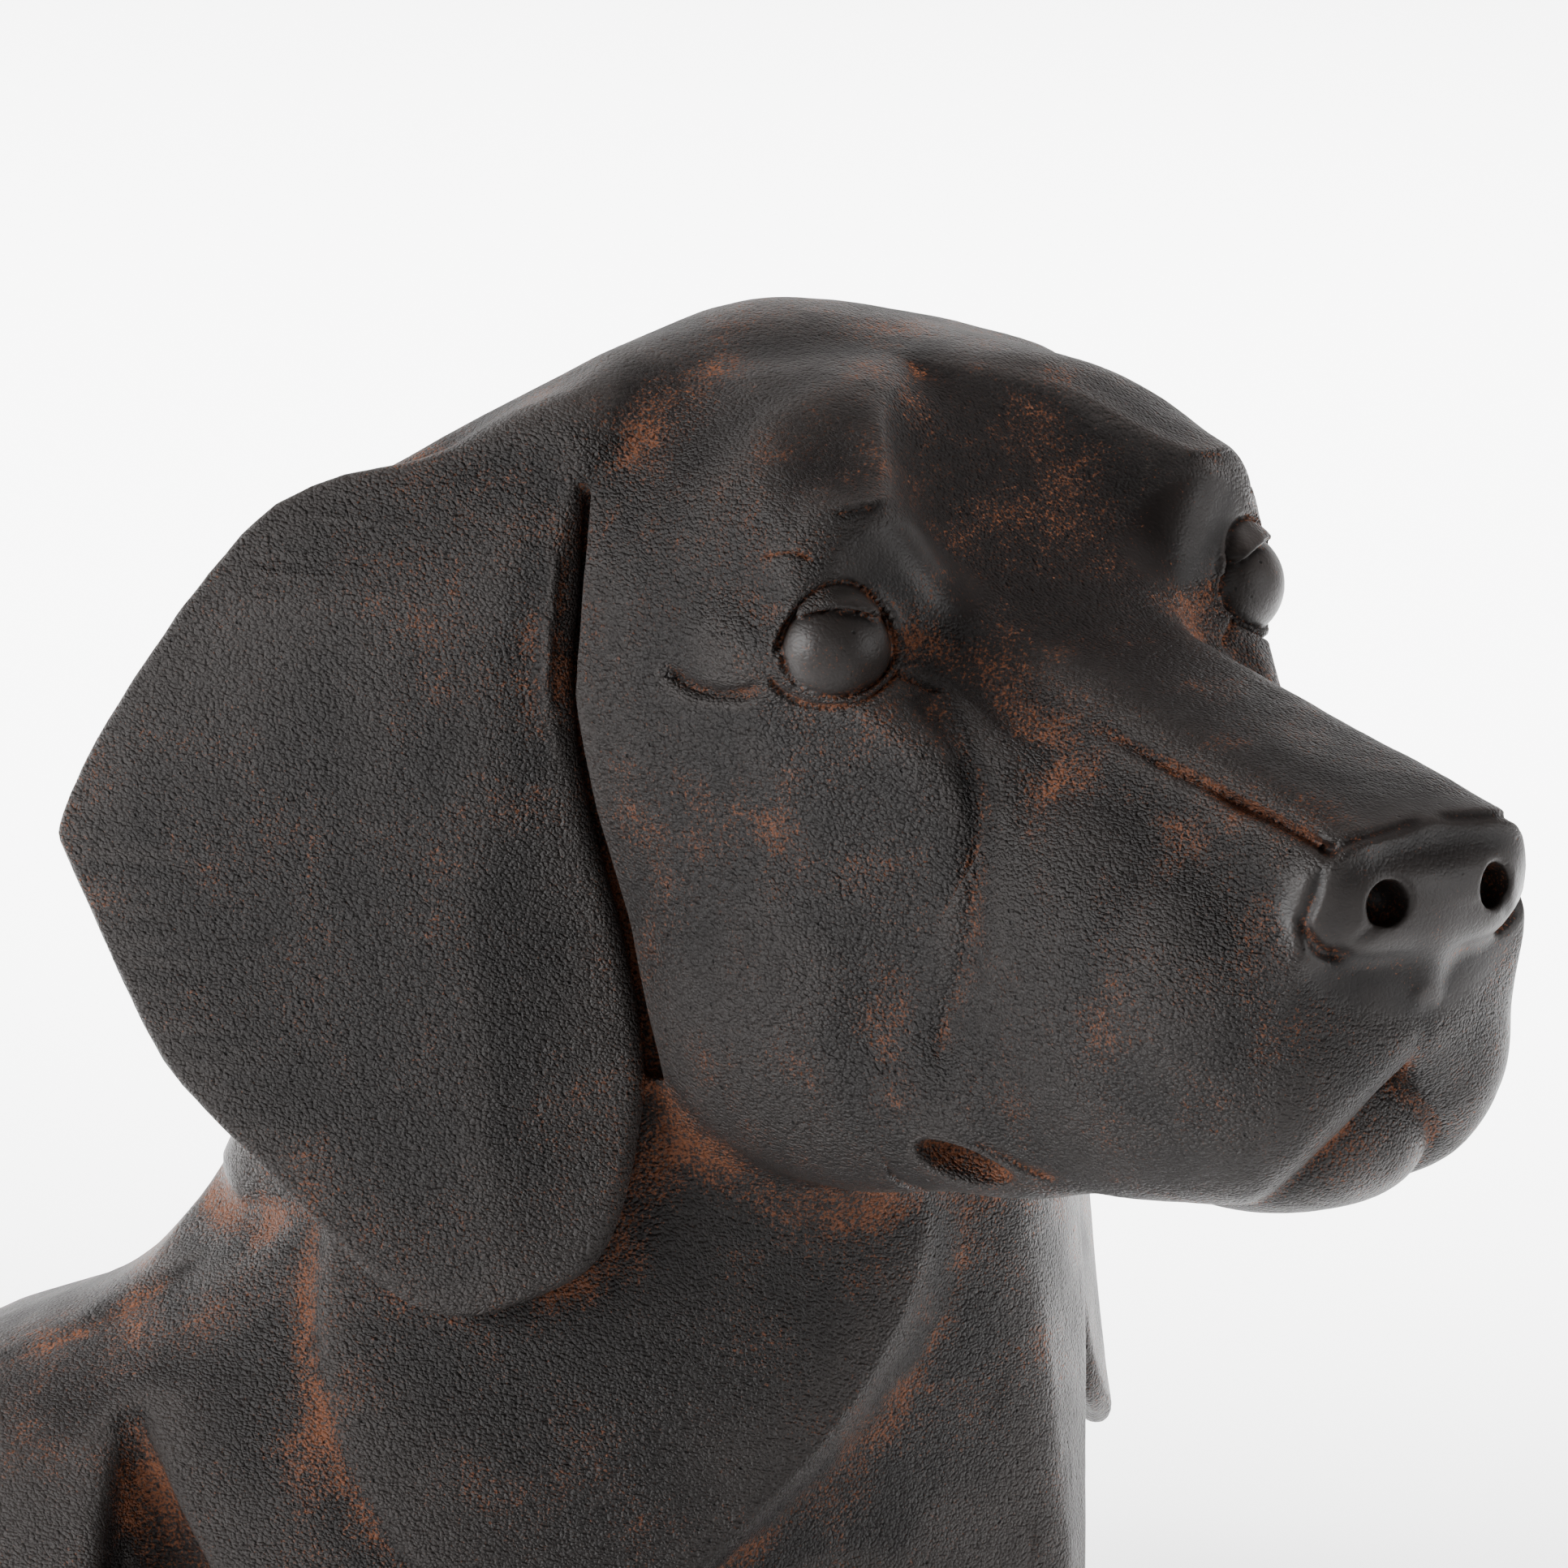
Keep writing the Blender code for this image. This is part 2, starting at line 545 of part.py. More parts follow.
def build_bust():
    """Sculpts the bust and adds it to the scene as one solid object."""
    low = (*FIELD_LOW, -EYE_HEIGHT / PART - BELOW_CUT)
    high = (*FIELD_HIGH, FIELD_TOP)
    step = FIELD_STEP / PART
    vertices, faces = polygonise(closed(sample_field(low, high, step)), low, step)
    dense = bpy.data.meshes.new("dense_bust")
    dense.from_pydata(to_world(vertices).tolist(), [], faces.tolist())
    mesh = thin_out(dense)
    cut_flat(mesh)
    centre_on_base(mesh)
    mesh.name = NODE
    mesh.materials.append(cast_finish())
    mesh.shade_smooth()
    mesh.set_sharp_from_angle(angle=radians(40))
    bust = bpy.data.objects.new(NODE, mesh)
    bpy.context.scene.collection.objects.link(bust)
    return bust


def closed(values):
    """Marks the grid's own border as outside, so that the mesh closes there."""
    for axis in range(3):
        for end in (0, -1):
            border = [slice(None)] * 3
            border[axis] = end
            values[tuple(border)] = np.maximum(values[tuple(border)], 0.5)
    return values


def main():
    """Builds the model in an empty scene."""
    remove_objects()
    build_bust()


main()
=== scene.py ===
"""Dog bust: the cast surface of a garden dog's head, neck and shoulders.

The casting is sculpted finely as a distance field, in the same frame as the
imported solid, and takes its place for looks.  Lengths of the carving are in
parts, a hundredth of the head's length.  The head's axes are forward, left and
up from the point midway between the eyes, and the body's are the same from the
point on the neck where the head turns.
"""
import logging
from collections.abc import Callable, Iterator
from dataclasses import dataclass, field
from enum import Enum
from itertools import permutations
from math import cos, radians, sin

import bmesh
import bpy
import numpy as np
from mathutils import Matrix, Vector


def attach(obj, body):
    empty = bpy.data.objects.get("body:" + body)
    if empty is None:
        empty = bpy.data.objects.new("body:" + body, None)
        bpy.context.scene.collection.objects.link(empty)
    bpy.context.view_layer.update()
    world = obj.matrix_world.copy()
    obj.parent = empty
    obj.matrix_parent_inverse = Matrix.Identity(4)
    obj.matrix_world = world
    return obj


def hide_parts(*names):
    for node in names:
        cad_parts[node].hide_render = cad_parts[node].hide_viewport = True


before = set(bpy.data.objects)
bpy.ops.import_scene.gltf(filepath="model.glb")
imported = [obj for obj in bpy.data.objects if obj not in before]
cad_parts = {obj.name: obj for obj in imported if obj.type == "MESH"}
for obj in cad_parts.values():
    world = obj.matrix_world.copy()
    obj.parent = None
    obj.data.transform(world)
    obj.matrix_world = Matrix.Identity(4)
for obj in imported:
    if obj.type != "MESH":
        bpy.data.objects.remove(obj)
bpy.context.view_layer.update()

LOG = logging.getLogger("dog_bust")

Vec = tuple[float, float, float]
Points = np.ndarray
Values = np.ndarray

PART = 0.002
FOOT = -88.0
HEAD_TURN = 35.0
TURN_AXIS = 40.0
BODY_ORIGIN = (0.005215, -0.000233, 0.176)

# The photograph's right, down and near directions, on the dog's right side of the head
PICTURE_RIGHT = (0.616, -0.788, 0.0)
PICTURE_DOWN = (0.164, 0.128, -0.978)
PICTURE_NEAR = (0.771, 0.602, 0.208)
PICTURE_MIDDLE = (-20.2, 12.86)
CAMERA_REACH = 2500.0


class Side(Enum):
    """The dog's own right and left."""

    RIGHT = -1
    LEFT = 1


def column(values: Vec) -> np.ndarray:
    """A point or direction as a column that broadcasts over many points."""
    return np.array(values, dtype=np.float32)[:, None]


def fade(values: Values, start: float, end: float) -> Values:
    """Runs smoothly from 0 to 1.

    Args:
        values: numbers to grade.
        start: value where the result is still 0.
        end: value where the result reaches 1.

    Returns:
        The share at each value.
    """
    share = np.clip((values - start) / (end - start), 0, 1)
    return share * share * (3 - 2 * share)


def union(first: Values, second: Values, blend: float | Values = 0.0) -> Values:
    """Joins two solids.

    Args:
        first: distances to one solid.
        second: distances to the other.
        blend: width of the fillet between them.

    Returns:
        Distances to the joined solid.
    """
    if np.ndim(blend) == 0 and blend == 0:
        return np.minimum(first, second)
    share = np.clip(0.5 + 0.5 * (second - first) / blend, 0, 1)
    return second + (first - second) * share - blend * share * (1 - share)


def overlap(first: Values, second: Values, blend: float = 0.0) -> Values:
    """Keeps what two solids share, with a rounded edge."""
    return -union(-first, -second, blend)


def carve(solid: Values, tool: Values, blend: float = 0.0) -> Values:
    """Takes a tool's shape out of a solid."""
    return -union(-solid, tool, blend)


def curve(corners: tuple[tuple[float, float], ...], closed: bool, steps: int = 5) -> np.ndarray:
    """A smooth curve through corners, as short straight sides.

    Args:
        corners: places that the curve passes.
        closed: whether it runs round to its start.
        steps: sides between two corners.

    Returns:
        The ends of the sides in order.
    """
    line = np.array(corners, dtype=float)
    if closed:
        line = np.concatenate((line[-1:], line, line[:2]))
    else:
        line = np.concatenate((2 * line[:1] - line[1:2], line, 2 * line[-1:] - line[-2:-1]))
    before, start, end, after = line[:-3], line[1:-2], line[2:-1], line[3:]
    smooth = [
        0.5 * (
            2 * start + (end - before) * share + (2 * before - 5 * start + 4 * end - after) * share ** 2
            + (3 * start - before - 3 * end + after) * share ** 3
        )
        for share in np.arange(steps) / steps
    ]
    smooth = np.stack(smooth, 1).reshape(-1, 2)
    return smooth if closed else np.concatenate((smooth, line[-2:-1]))


def pitched(points: Points, centre: Vec, degrees: float) -> Points:
    """Turns points about a centre.

    Args:
        points: places in the head's axes.
        centre: point that stays where it is.
        degrees: how far a shape there noses down.

    Returns:
        The turned places.
    """
    turn, place = radians(degrees), column(centre)
    forward, left, up = points - place
    turned = (forward * cos(turn) - up * sin(turn), left, forward * sin(turn) + up * cos(turn))
    return np.stack(turned) + place


@dataclass(frozen=True)
class Mass:
    """A soft lump with its own squareness."""

    centre: Vec
    radii: Vec
    power: float = 2.0
    blend: float = 0.0
    pitch: float = 0.0

    def distance(self, points: Points) -> Values:
        """Distances to the lump's skin.

        Args:
            points: places in the lump's axes.

        Returns:
            Nearly true distances, negative inside.
        """
        if self.pitch:
            points = pitched(points, self.centre, self.pitch)
        radii = column(self.radii)
        share = np.abs(points - column(self.centre)) / radii + 1e-4
        reach = (share ** self.power).sum(0) ** (1 / self.power)
        slope = np.sqrt(((share ** (self.power - 1) / radii) ** 2).sum(0))
        return (reach - 1) / (slope * reach ** (1 - self.power))


@dataclass(frozen=True)
class Facet:
    """A flat cut of the sculptor's knife."""

    point: Vec
    normal: Vec
    blend: float = 0.0

    def distance(self, points: Points) -> Values:
        """Distances in front of the cut."""
        normal = np.array(self.normal) / np.linalg.norm(self.normal)
        return (points * column(normal)).sum(0) - float(normal @ np.array(self.point))


@dataclass(frozen=True)
class Rod:
    """A tapered bar with round ends."""

    start: Vec
    end: Vec
    radii: tuple[float, float]
    blend: float = 0.0

    def distance(self, points: Points) -> Values:
        """Distances to the bar's skin.

        Args:
            points: places in the bar's axes.

        Returns:
            Distances, negative inside.
        """
        start, end = column(self.start), column(self.end)
        along = end - start
        share = np.clip(((points - start) * along).sum(0) / (along * along).sum(), 0, 1)
        gap = points - start - along * share
        return np.sqrt((gap * gap).sum(0)) - (self.radii[0] + (self.radii[1] - self.radii[0]) * share)


def work(join: Callable, solid: Values, points: Points, *shapes: Mass | Rod | Facet) -> Values:
    """Works shapes into a solid one after another, each with its own blend.

    Args:
        join: union, carve or overlap.
        solid: distances to the solid so far.
        points: places in the shapes' axes.
        *shapes: the lumps, hollows or flat cuts.

    Returns:
        Distances to the worked solid.
    """
    for shape in shapes:
        solid = join(solid, shape.distance(points), shape.blend)
    return solid


def side_gaps(line: np.ndarray, across: Values, along: Values) -> Iterator[tuple[Values, Values]]:
    """Measures points against each straight side of a line.

    Args:
        line: the ends of the sides in order.
        across: the points' first coordinates.
        along: the points' second coordinates.

    Yields:
        How far along the side the nearest place lies, and the squared gap to it.
    """
    for (ax, ay), (bx, by) in zip(line[:-1], line[1:]):
        ex, ey = bx - ax, by - ay
        wx, wy = across - ax, along - ay
        share = np.clip((wx * ex + wy * ey) / (ex * ex + ey * ey), 0, 1)
        yield share, (wx - ex * share) ** 2 + (wy - ey * share) ** 2


@dataclass(frozen=True)
class Scribe:
    """A line scribed across the surface, drawn square to the photograph."""

    line: tuple[tuple[float, float], ...]
    width: float
    depth: float
    taper: float = 0.25

    def cut(self, picture: Points) -> Values:
        """How deep the line cuts.

        Args:
            picture: places seen square to the photograph, right and down.

        Returns:
            Depth of the cut at each place.
        """
        line = curve(self.line, closed=False)
        low, high = line.min(0)[:, None] - 3 * self.width, line.max(0)[:, None] + 3 * self.width
        near = ((picture > low) & (picture < high)).all(0)
        right, down = picture[:, near]
        nearest, reached = np.full(right.shape, 1e9, dtype=np.float32), np.zeros(right.shape, dtype=np.float32)
        for number, (share, gap) in enumerate(side_gaps(line, right, down)):
            reached = np.where(gap < nearest, number + share, reached)
            nearest = np.minimum(nearest, gap)
        ends = np.minimum(reached, len(line) - 1 - reached) / (len(line) - 1)
        depth = np.zeros(picture.shape[1], dtype=np.float32)
        depth[near] = self.depth * np.exp(-nearest / self.width ** 2) * fade(ends, -0.02, self.taper)
        return depth


def scribe_all(solid: Values, points: Points, lines: tuple[Scribe, ...]) -> Values:
    """Cuts scribed lines into one side of the head.

    Args:
        solid: distances to the solid.
        points: places in the half head's axes.
        lines: lines to cut.

    Returns:
        Distances to the solid with its lines.
    """
    right, down, near = ((points * column(axis)).sum(0) for axis in (PICTURE_RIGHT, PICTURE_DOWN, PICTURE_NEAR))
    swell = CAMERA_REACH / (CAMERA_REACH - near)
    picture = np.stack([(line - middle) * swell + middle for line, middle in zip((right, down), PICTURE_MIDDLE)])
    for line in lines:
        solid = solid + line.cut(picture)
    return solid


@dataclass
class Skull:
    """Cranium, brows, temples and jowls, with the planes of the brow and cheek."""

    cranium: Mass = Mass((-26, 0, -2.6), (21.5, 25.5, 20.4), 2.5)
    lumps: tuple[Mass, ...] = (
        Mass((-34, 0, -8), (20, 24, 26.5), 2.0, 6),
        Mass((-13, 7, -25), (20, 15.5, 20.5), 2.6, 8),
        Mass((0, 7.5, -11), (13.5, 12, 14), 2.0, 5),
        Mass((-9, 0, 0), (15, 12, 15), 2.0, 3),
        Mass((-17, 8.8, 3.4), (12, 11.6, 12.6), 2.2, 5),
        Mass((2, 10, -36), (15, 8.5, 6.8), 2.2, 4),
    )
    brow: Mass = Mass((-6.6, 12.2, 0.2), (12.6, 10.9, 14.6), 2.9, 5)
    brow_corner: Vec = (0.3, 15.8, 11.0)
    brow_top: Facet = Facet(brow_corner, (0.283, 0.121, 0.951), 2.5)
    brow_front: Facet = Facet(brow_corner, (0.961, 0.252, 0.112), 2.2)
    brow_valley: Facet = Facet(brow_corner, (0.65, -0.53, 0.54), 0.35)
    ledge_height: float = 11.2
    ledge_fall: float = 0.12
    ledge_edge: tuple[float, float] = (-0.1, 0.35)
    front_rise: tuple[float, float] = (-8.0, 1.0)
    forehead: Facet = Facet((4.2, 0, 0.4), (0.69, 0, 0.72), 1.5)
    cheek: Facet = Facet((11.8, 16.2, -11), (0.352, 0.934, -0.063), 0.6)
    cheek_arc: tuple[float, float, float] = (-1.8, -12.5, 14.0)
    cheek_depth: float = 2.2

    def shape(self, points: Points) -> Values:
        """Models the skull.

        Args:
            points: places in the half head's axes.

        Returns:
            Distances to the skull.
        """
        solid = work(union, self.cranium.distance(points), points, *self.lumps)
        brow = work(overlap, self.brow.distance(points), points, self.brow_top)
        solid = union(solid, brow, self.brow.blend)
        valley, band = (work(overlap, solid, points, facet) for facet in (self.brow_valley, self.forehead))
        solid = union(valley, band, self.forehead.blend)
        cut = work(overlap, solid, points, self.brow_front) - solid
        below = self.ledge_height - self.ledge_fall * (points[1] - self.brow_corner[1]) - points[2]
        return solid + cut * fade(below, *self.ledge_edge) * fade(points[2], *self.front_rise)

    def plane_cheek(self, solid: Values, points: Points) -> Values:
        """Planes the cheek below the eye, up to an arc towards the muzzle.

        Args:
            solid: distances to the head so far.
            points: places in the half head's axes.

        Returns:
            Distances to the head with its cheek planed.
        """
        forward, _, up = points
        ahead, height, radius = self.cheek_arc
        reach = np.hypot(np.maximum(forward - ahead, 0), up - height)
        share = fade(reach, radius, radius - 0.7) * (1 - fade(up, -6, -1))
        share = share * fade(up, -24, -10) * fade(forward, -18, -2)
        cut = work(overlap, solid, points, self.cheek) - solid
        return solid + np.minimum(cut, self.cheek_depth) * share


@dataclass
class Muzzle:
    """Flat bridge of the muzzle with the hanging flews."""

    bridge: tuple[Facet, ...] = (
        Facet((4.2, 0, 0.9), (0.2, 0, 1.0)),
        Facet((48, 10.4, -8.9), (0.0, 0.99, 0.12), 4.5),
        Facet((48.4, 0, -9.3), (0.95, 0, -0.31), 0.6),
        Facet((48.0, 0, -9.3), (1, 0, 0.2), 0.8),
        Facet((47.9, 9.6, -9), (0.72, 0.69, 0), 2.5),
        Facet((20, 0, -20), (-0.05, 0, -1), 5.0),
        Facet((-14, 0, 0), (-1, 0, 0), 4.0),
    )
    flews: tuple[Mass, ...] = (
        Mass((29.5, 6.4, -26.0), (15.8, 9.5, 14.0), 2.1, 5),
        Mass((15, 8.5, -25), (18, 9.5, 15.5), 2.4, 6),
        Mass((31, 0, -22), (16.0, 10.5, 10.5), 2.4, 3.0),
        Mass((32.6, 10.6, -22.6), (7.6, 5.9, 8.0), 2.0, 3.0),
    )
    arch: float = 0.008
    blend: float = 5.0

    def shape(self, points: Points) -> Values:
        """Models the muzzle.

        Args:
            points: places in the half head's axes.

        Returns:
            Distances to the muzzle.
        """
        solid = self.bridge[0].distance(points) + self.arch * points[1] ** 2
        return work(union, work(overlap, solid, points, *self.bridge[1:]), points, *self.flews)


@dataclass
class Nose:
    """Nose pad with its nostrils and the wedge between them."""

    pad: Mass = Mass((42.0, 0, -13.5), (7.5, 10.8, 5.2), 2.8, 1.2, pitch=8.0)
    taper: Facet = Facet((44, 10.6, -15.2), (0, 0.88, -0.47), 2.5)
    septum: Rod = Rod((44.6, 0, -15.5), (46.3, 0, -21.2), (4.6, 1.2), 1.6)
    nostril: Rod = Rod((50, 5.4, -13.4), (46.9, 5.0, -13.9), (1.85, 1.75), 0.5)
    tail: Rod = Rod((49.4, 6.0, -14.6), (47.8, 8.2, -17.2), (0.7, 0.3), 0.6)

    def shape(self, solid: Values, points: Points) -> Values:
        """Adds the nose to the muzzle.

        Args:
            solid: distances to the head so far.
            points: places in the half head's axes.

        Returns:
            Distances to the head with its nose.
        """
        pad = work(union, work(overlap, self.pad.distance(points), points, self.taper), points, self.septum)
        return work(carve, union(solid, pad, self.pad.blend), points, self.nostril, self.tail)


@dataclass
class Mouth:
    """Lower jaw, parted lips, philtrum, chin and the pockets at the mouth's corners."""

    jaw: Rod = Rod((-18, 4, -32), (34, 0, -32.5), (10.5, 7.0), 2.0)
    parting: float = -27.8
    spread: float = 0.75
    gap: float = 5.0
    depth: float = 30.0
    margin: Facet = Facet((38.3, 4, -35.4), (0.78, -0.66, -0.978), 1.4)
    lip_rounding: float = 0.6
    chin: Mass = Mass((30, 0, -34), (12.6, 8.4, 7.6), 2.5, 0.5, pitch=-8.0)
    philtrum: tuple[Rod, ...] = (
        Rod((48.4, 0, -22.0), (48.4, 0, -23.4), (0.8, 0.9), 0.8),
        Rod((48.4, 0, -23.4), (46.6, 0, -29.0), (0.9, 1.2), 0.8),
    )
    pocket: Mass = Mass((11.2, 17.0, -39.4), (4.6, 3.8, 1.8), 2.0, 0.8, pitch=12.0)

    def shape(self, solid: Values, points: Points) -> Values:
        """Adds the jaw and cuts the mouth.

        Args:
            solid: distances to the head so far.
            points: places in the half head's axes.

        Returns:
            Distances to the head with its mouth.
        """
        solid = work(union, solid, points, self.jaw)
        forward, aside, up = points
        gap = (aside - np.minimum(self.spread * (self.parting - up), self.gap)) / np.hypot(1, self.spread)
        gap = np.maximum(np.maximum(gap, self.depth - forward), up - self.parting)
        solid = work(overlap, carve(solid, gap, self.lip_rounding), points, self.margin)
        return work(carve, work(union, solid, points, self.chin), points, *self.philtrum, self.pocket)


@dataclass
class Eye:
    """Eyeball in its lids, with the bag behind its outer corner."""

    centre: Vec = (-1.4, 19.5, 0.0)
    ball: float = 4.3
    gaze: Vec = (0.80, 0.58, 0.06)
    lid: float = 0.6
    lid_setback: float = 0.15
    lid_lift: float = 0.28
    opening: tuple[float, float, float] = (0.45, -0.85, -0.75)
    lid_edge: float = 0.4
    lid_blends: tuple[float, float] = (0.8, 0.5)
    socket: float = 0.9
    bag: Mass = Mass((-9.0, 22.0, -0.9), (6.0, 3.2, 3.7), 2.0, 2.2)

    def shape(self, solid: Values, points: Points) -> Values:
        """Sets the eye into the head.

        Args:
            solid: distances to the head so far.
            points: places in the half head's axes.

        Returns:
            Distances to the head with its eye.
        """
        gaze = np.array(self.gaze) / np.linalg.norm(self.gaze)
        across = np.cross((0, 0, 1), gaze)
        across /= np.linalg.norm(across)
        upward = np.cross(gaze, across)
        gap = points - column(self.centre)
        ahead, wide, high = ((gap * column(axis)).sum(0) for axis in (gaze, across, upward))
        middle = np.array(self.centre) - gaze * self.lid_setback + upward * self.lid_lift
        solid = union(solid, Mass(tuple(middle), (self.ball + self.lid,) * 3).distance(points), self.lid_blends[0])
        side, top, bottom = (self.ball + extra for extra in self.opening)
        rim = (np.sqrt((wide / side) ** 2 + (high / np.where(high > 0, top, bottom)) ** 2) - 1) * bottom
        ball = np.sqrt((gap * gap).sum(0)) - self.ball
        tool = np.maximum(np.maximum(rim, self.lid_edge - ahead), -self.socket - ball)
        solid = carve(solid, tool, self.lid_blends[1])
        return union(work(union, solid, points, self.bag), ball)


@dataclass
class Ear:
    """One hanging ear, with the fold that carries it."""

    side: Side
    stretch: float
    flare: float
    drop: float
    root: tuple[float, float] = (-26.3, 25.0)
    direction: tuple[float, float] = (-0.88, 0.475)
    top: float = 14.0
    thickness: float = 2.1
    outline: tuple[tuple[float, float], ...] = (
        (1, 14), (12, 10.5), (26.4, 5.7), (38.8, -10), (44.4, -20), (43.5, -25),
        (35.4, -39), (26.4, -47), (16.1, -55), (10.6, -57), (5.1, -56), (-1.4, -52),
        (-3.6, -42), (-3.6, -35.5), (-1.7, -26), (0.7, -16.5), (1.7, -7), (1, 2.7),
    )
    fold: Rod = Rod((-33, 16, 7.6), (-46, 31.0, 3.2), (8.0, 4.2), 7.0)
    base: Mass = Mass((-40, 17.0, -3), (13, 9.5, 12), 2.2, 6.0)
    tuck: float = 3.0
    blend: float = 0.5
    root_blend: float = 6.0
    crease: tuple[tuple[float, float], ...] = (
        (-60.0, 4.0), (-53.1, 5.3), (-42.8, 8.0), (-26.7, 9.4), (-4.2, 7.3), (6.1, 5.3), (14.0, 3.0))
    crease_slope: float = 0.30
    front: tuple[tuple[float, float], ...] = (
        (-38.0, -3.8), (-35.5, -3.6), (-26.0, -1.7), (-16.5, 0.7), (-7.0, 1.7), (2.7, 1.0), (11.0, 0.2), (13.5, -0.8))
    slot: tuple[float, float, float] = (1.7, 1.0, 2.8)
    slot_top: float = 11.5
    slot_foot: float = -38.0

    def edge_distance(self, along: Values, height: Values) -> Values:
        """Distances to the outline in the flap's own plane.

        Args:
            along: places backwards along the flap.
            height: places up the flap.

        Returns:
            Distances, negative within the outline.
        """
        loop = curve(self.outline, closed=True)
        loop = np.concatenate((loop, loop[:1]))
        nearest = np.full(along.shape, np.inf, dtype=np.float32)
        inside = np.zeros(along.shape, dtype=bool)
        for _, gap in side_gaps(loop, along, height):
            nearest = np.minimum(nearest, gap)
        for (ax, ay), (bx, by) in zip(loop[:-1], loop[1:]):
            if ay != by:
                inside ^= ((ay <= height) != (by <= height)) & (along - ax < (bx - ax) * (height - ay) / (by - ay))
        return np.sqrt(nearest) * np.where(inside, -1, 1)

    def unrolled(self, points: Points) -> tuple[Values, Values, Values]:
        """Places in the flap's own axes, with its bends taken out.

        Args:
            points: places in the head's axes, with this ear's side to the left.

        Returns:
            Distances backwards along the flap, up it and outwards from its middle.
        """
        forward, left, up = points[0] - self.root[0], points[1] - self.root[1], points[2]
        along = forward * self.direction[0] + left * self.direction[1]
        outward = forward * self.direction[1] - left * self.direction[0]
        height = np.where(up < self.top, self.top + (up - self.top) / self.stretch, up)
        hem = np.clip((-20 - up) / 40, 0, 2)
        tuck = np.clip((up + 2) / 16, 0, 1.5)
        outward = outward - self.flare * hem ** 2 + self.tuck * tuck ** 2
        heights, places = np.array(self.crease).T
        ahead = np.interp(height, heights, places) - along
        bend = self.crease_slope * 0.5 * (ahead + np.sqrt(ahead * ahead + 2.0))
        return along, height, outward + bend * fade(height, 12, 0)

    def flap(self, along: Values, height: Values, outward: Values) -> Values:
        """The thin plate with its round edge and flared hem.

        Args:
            along: places backwards along the flap.
            height: places up the flap.
            outward: places outwards from its middle.

        Returns:
            Distances to the flap.
        """
        half = self.thickness / 2
        rounding = 0.9 * half
        plate = np.full(along.shape, 12.0, dtype=np.float32)
        near = (np.abs(outward) < 12) & (along > -16) & (along < 57) & (height > -70) & (height < 26)
        edge = self.edge_distance(along[near], height[near]) + rounding
        face = np.abs(outward[near]) - (half - rounding)
        outside = np.hypot(np.maximum(edge, 0), np.maximum(face, 0))
        plate[near] = outside + np.minimum(np.maximum(edge, face), 0) - rounding
        return plate

    def shape(self, solid: Values, points: Points) -> Values:
        """Hangs the ear on the head.

        Args:
            solid: distances to the bust so far.
            points: places in the head's axes.

        Returns:
            Distances to the bust with this ear.
        """
        sided = np.stack((points[0], points[1] * self.side.value, points[2] + self.drop))
        solid = work(union, solid, sided, self.base, self.fold)
        along, height, outward = self.unrolled(sided)
        heights, places = np.array(self.front).T
        ahead, under, depth = self.slot
        past = along - np.interp(height, heights, places)
        slot = np.maximum(-ahead * fade(height, self.slot_top + 3, 2) - past, past - under)
        slot = overlap(slot, -outward - depth * fade(height, self.slot_top, self.slot_top - 9), 0.6)
        slot = np.maximum(slot, np.maximum(height - self.slot_top, self.slot_foot - height) * 0.7)
        solid = carve(solid, slot, 0.35)
        blend = self.blend + self.root_blend * fade(height, 7, 15)
        return union(solid, self.flap(along, height, outward), blend)


@dataclass(frozen=True)
class Fold:
    """A curved fold of the neck and the flat cut that starts at it."""

    facet: Facet
    forward: float
    height: float
    bend: float
    softness: float
    depth: float
    top: float = 40.0


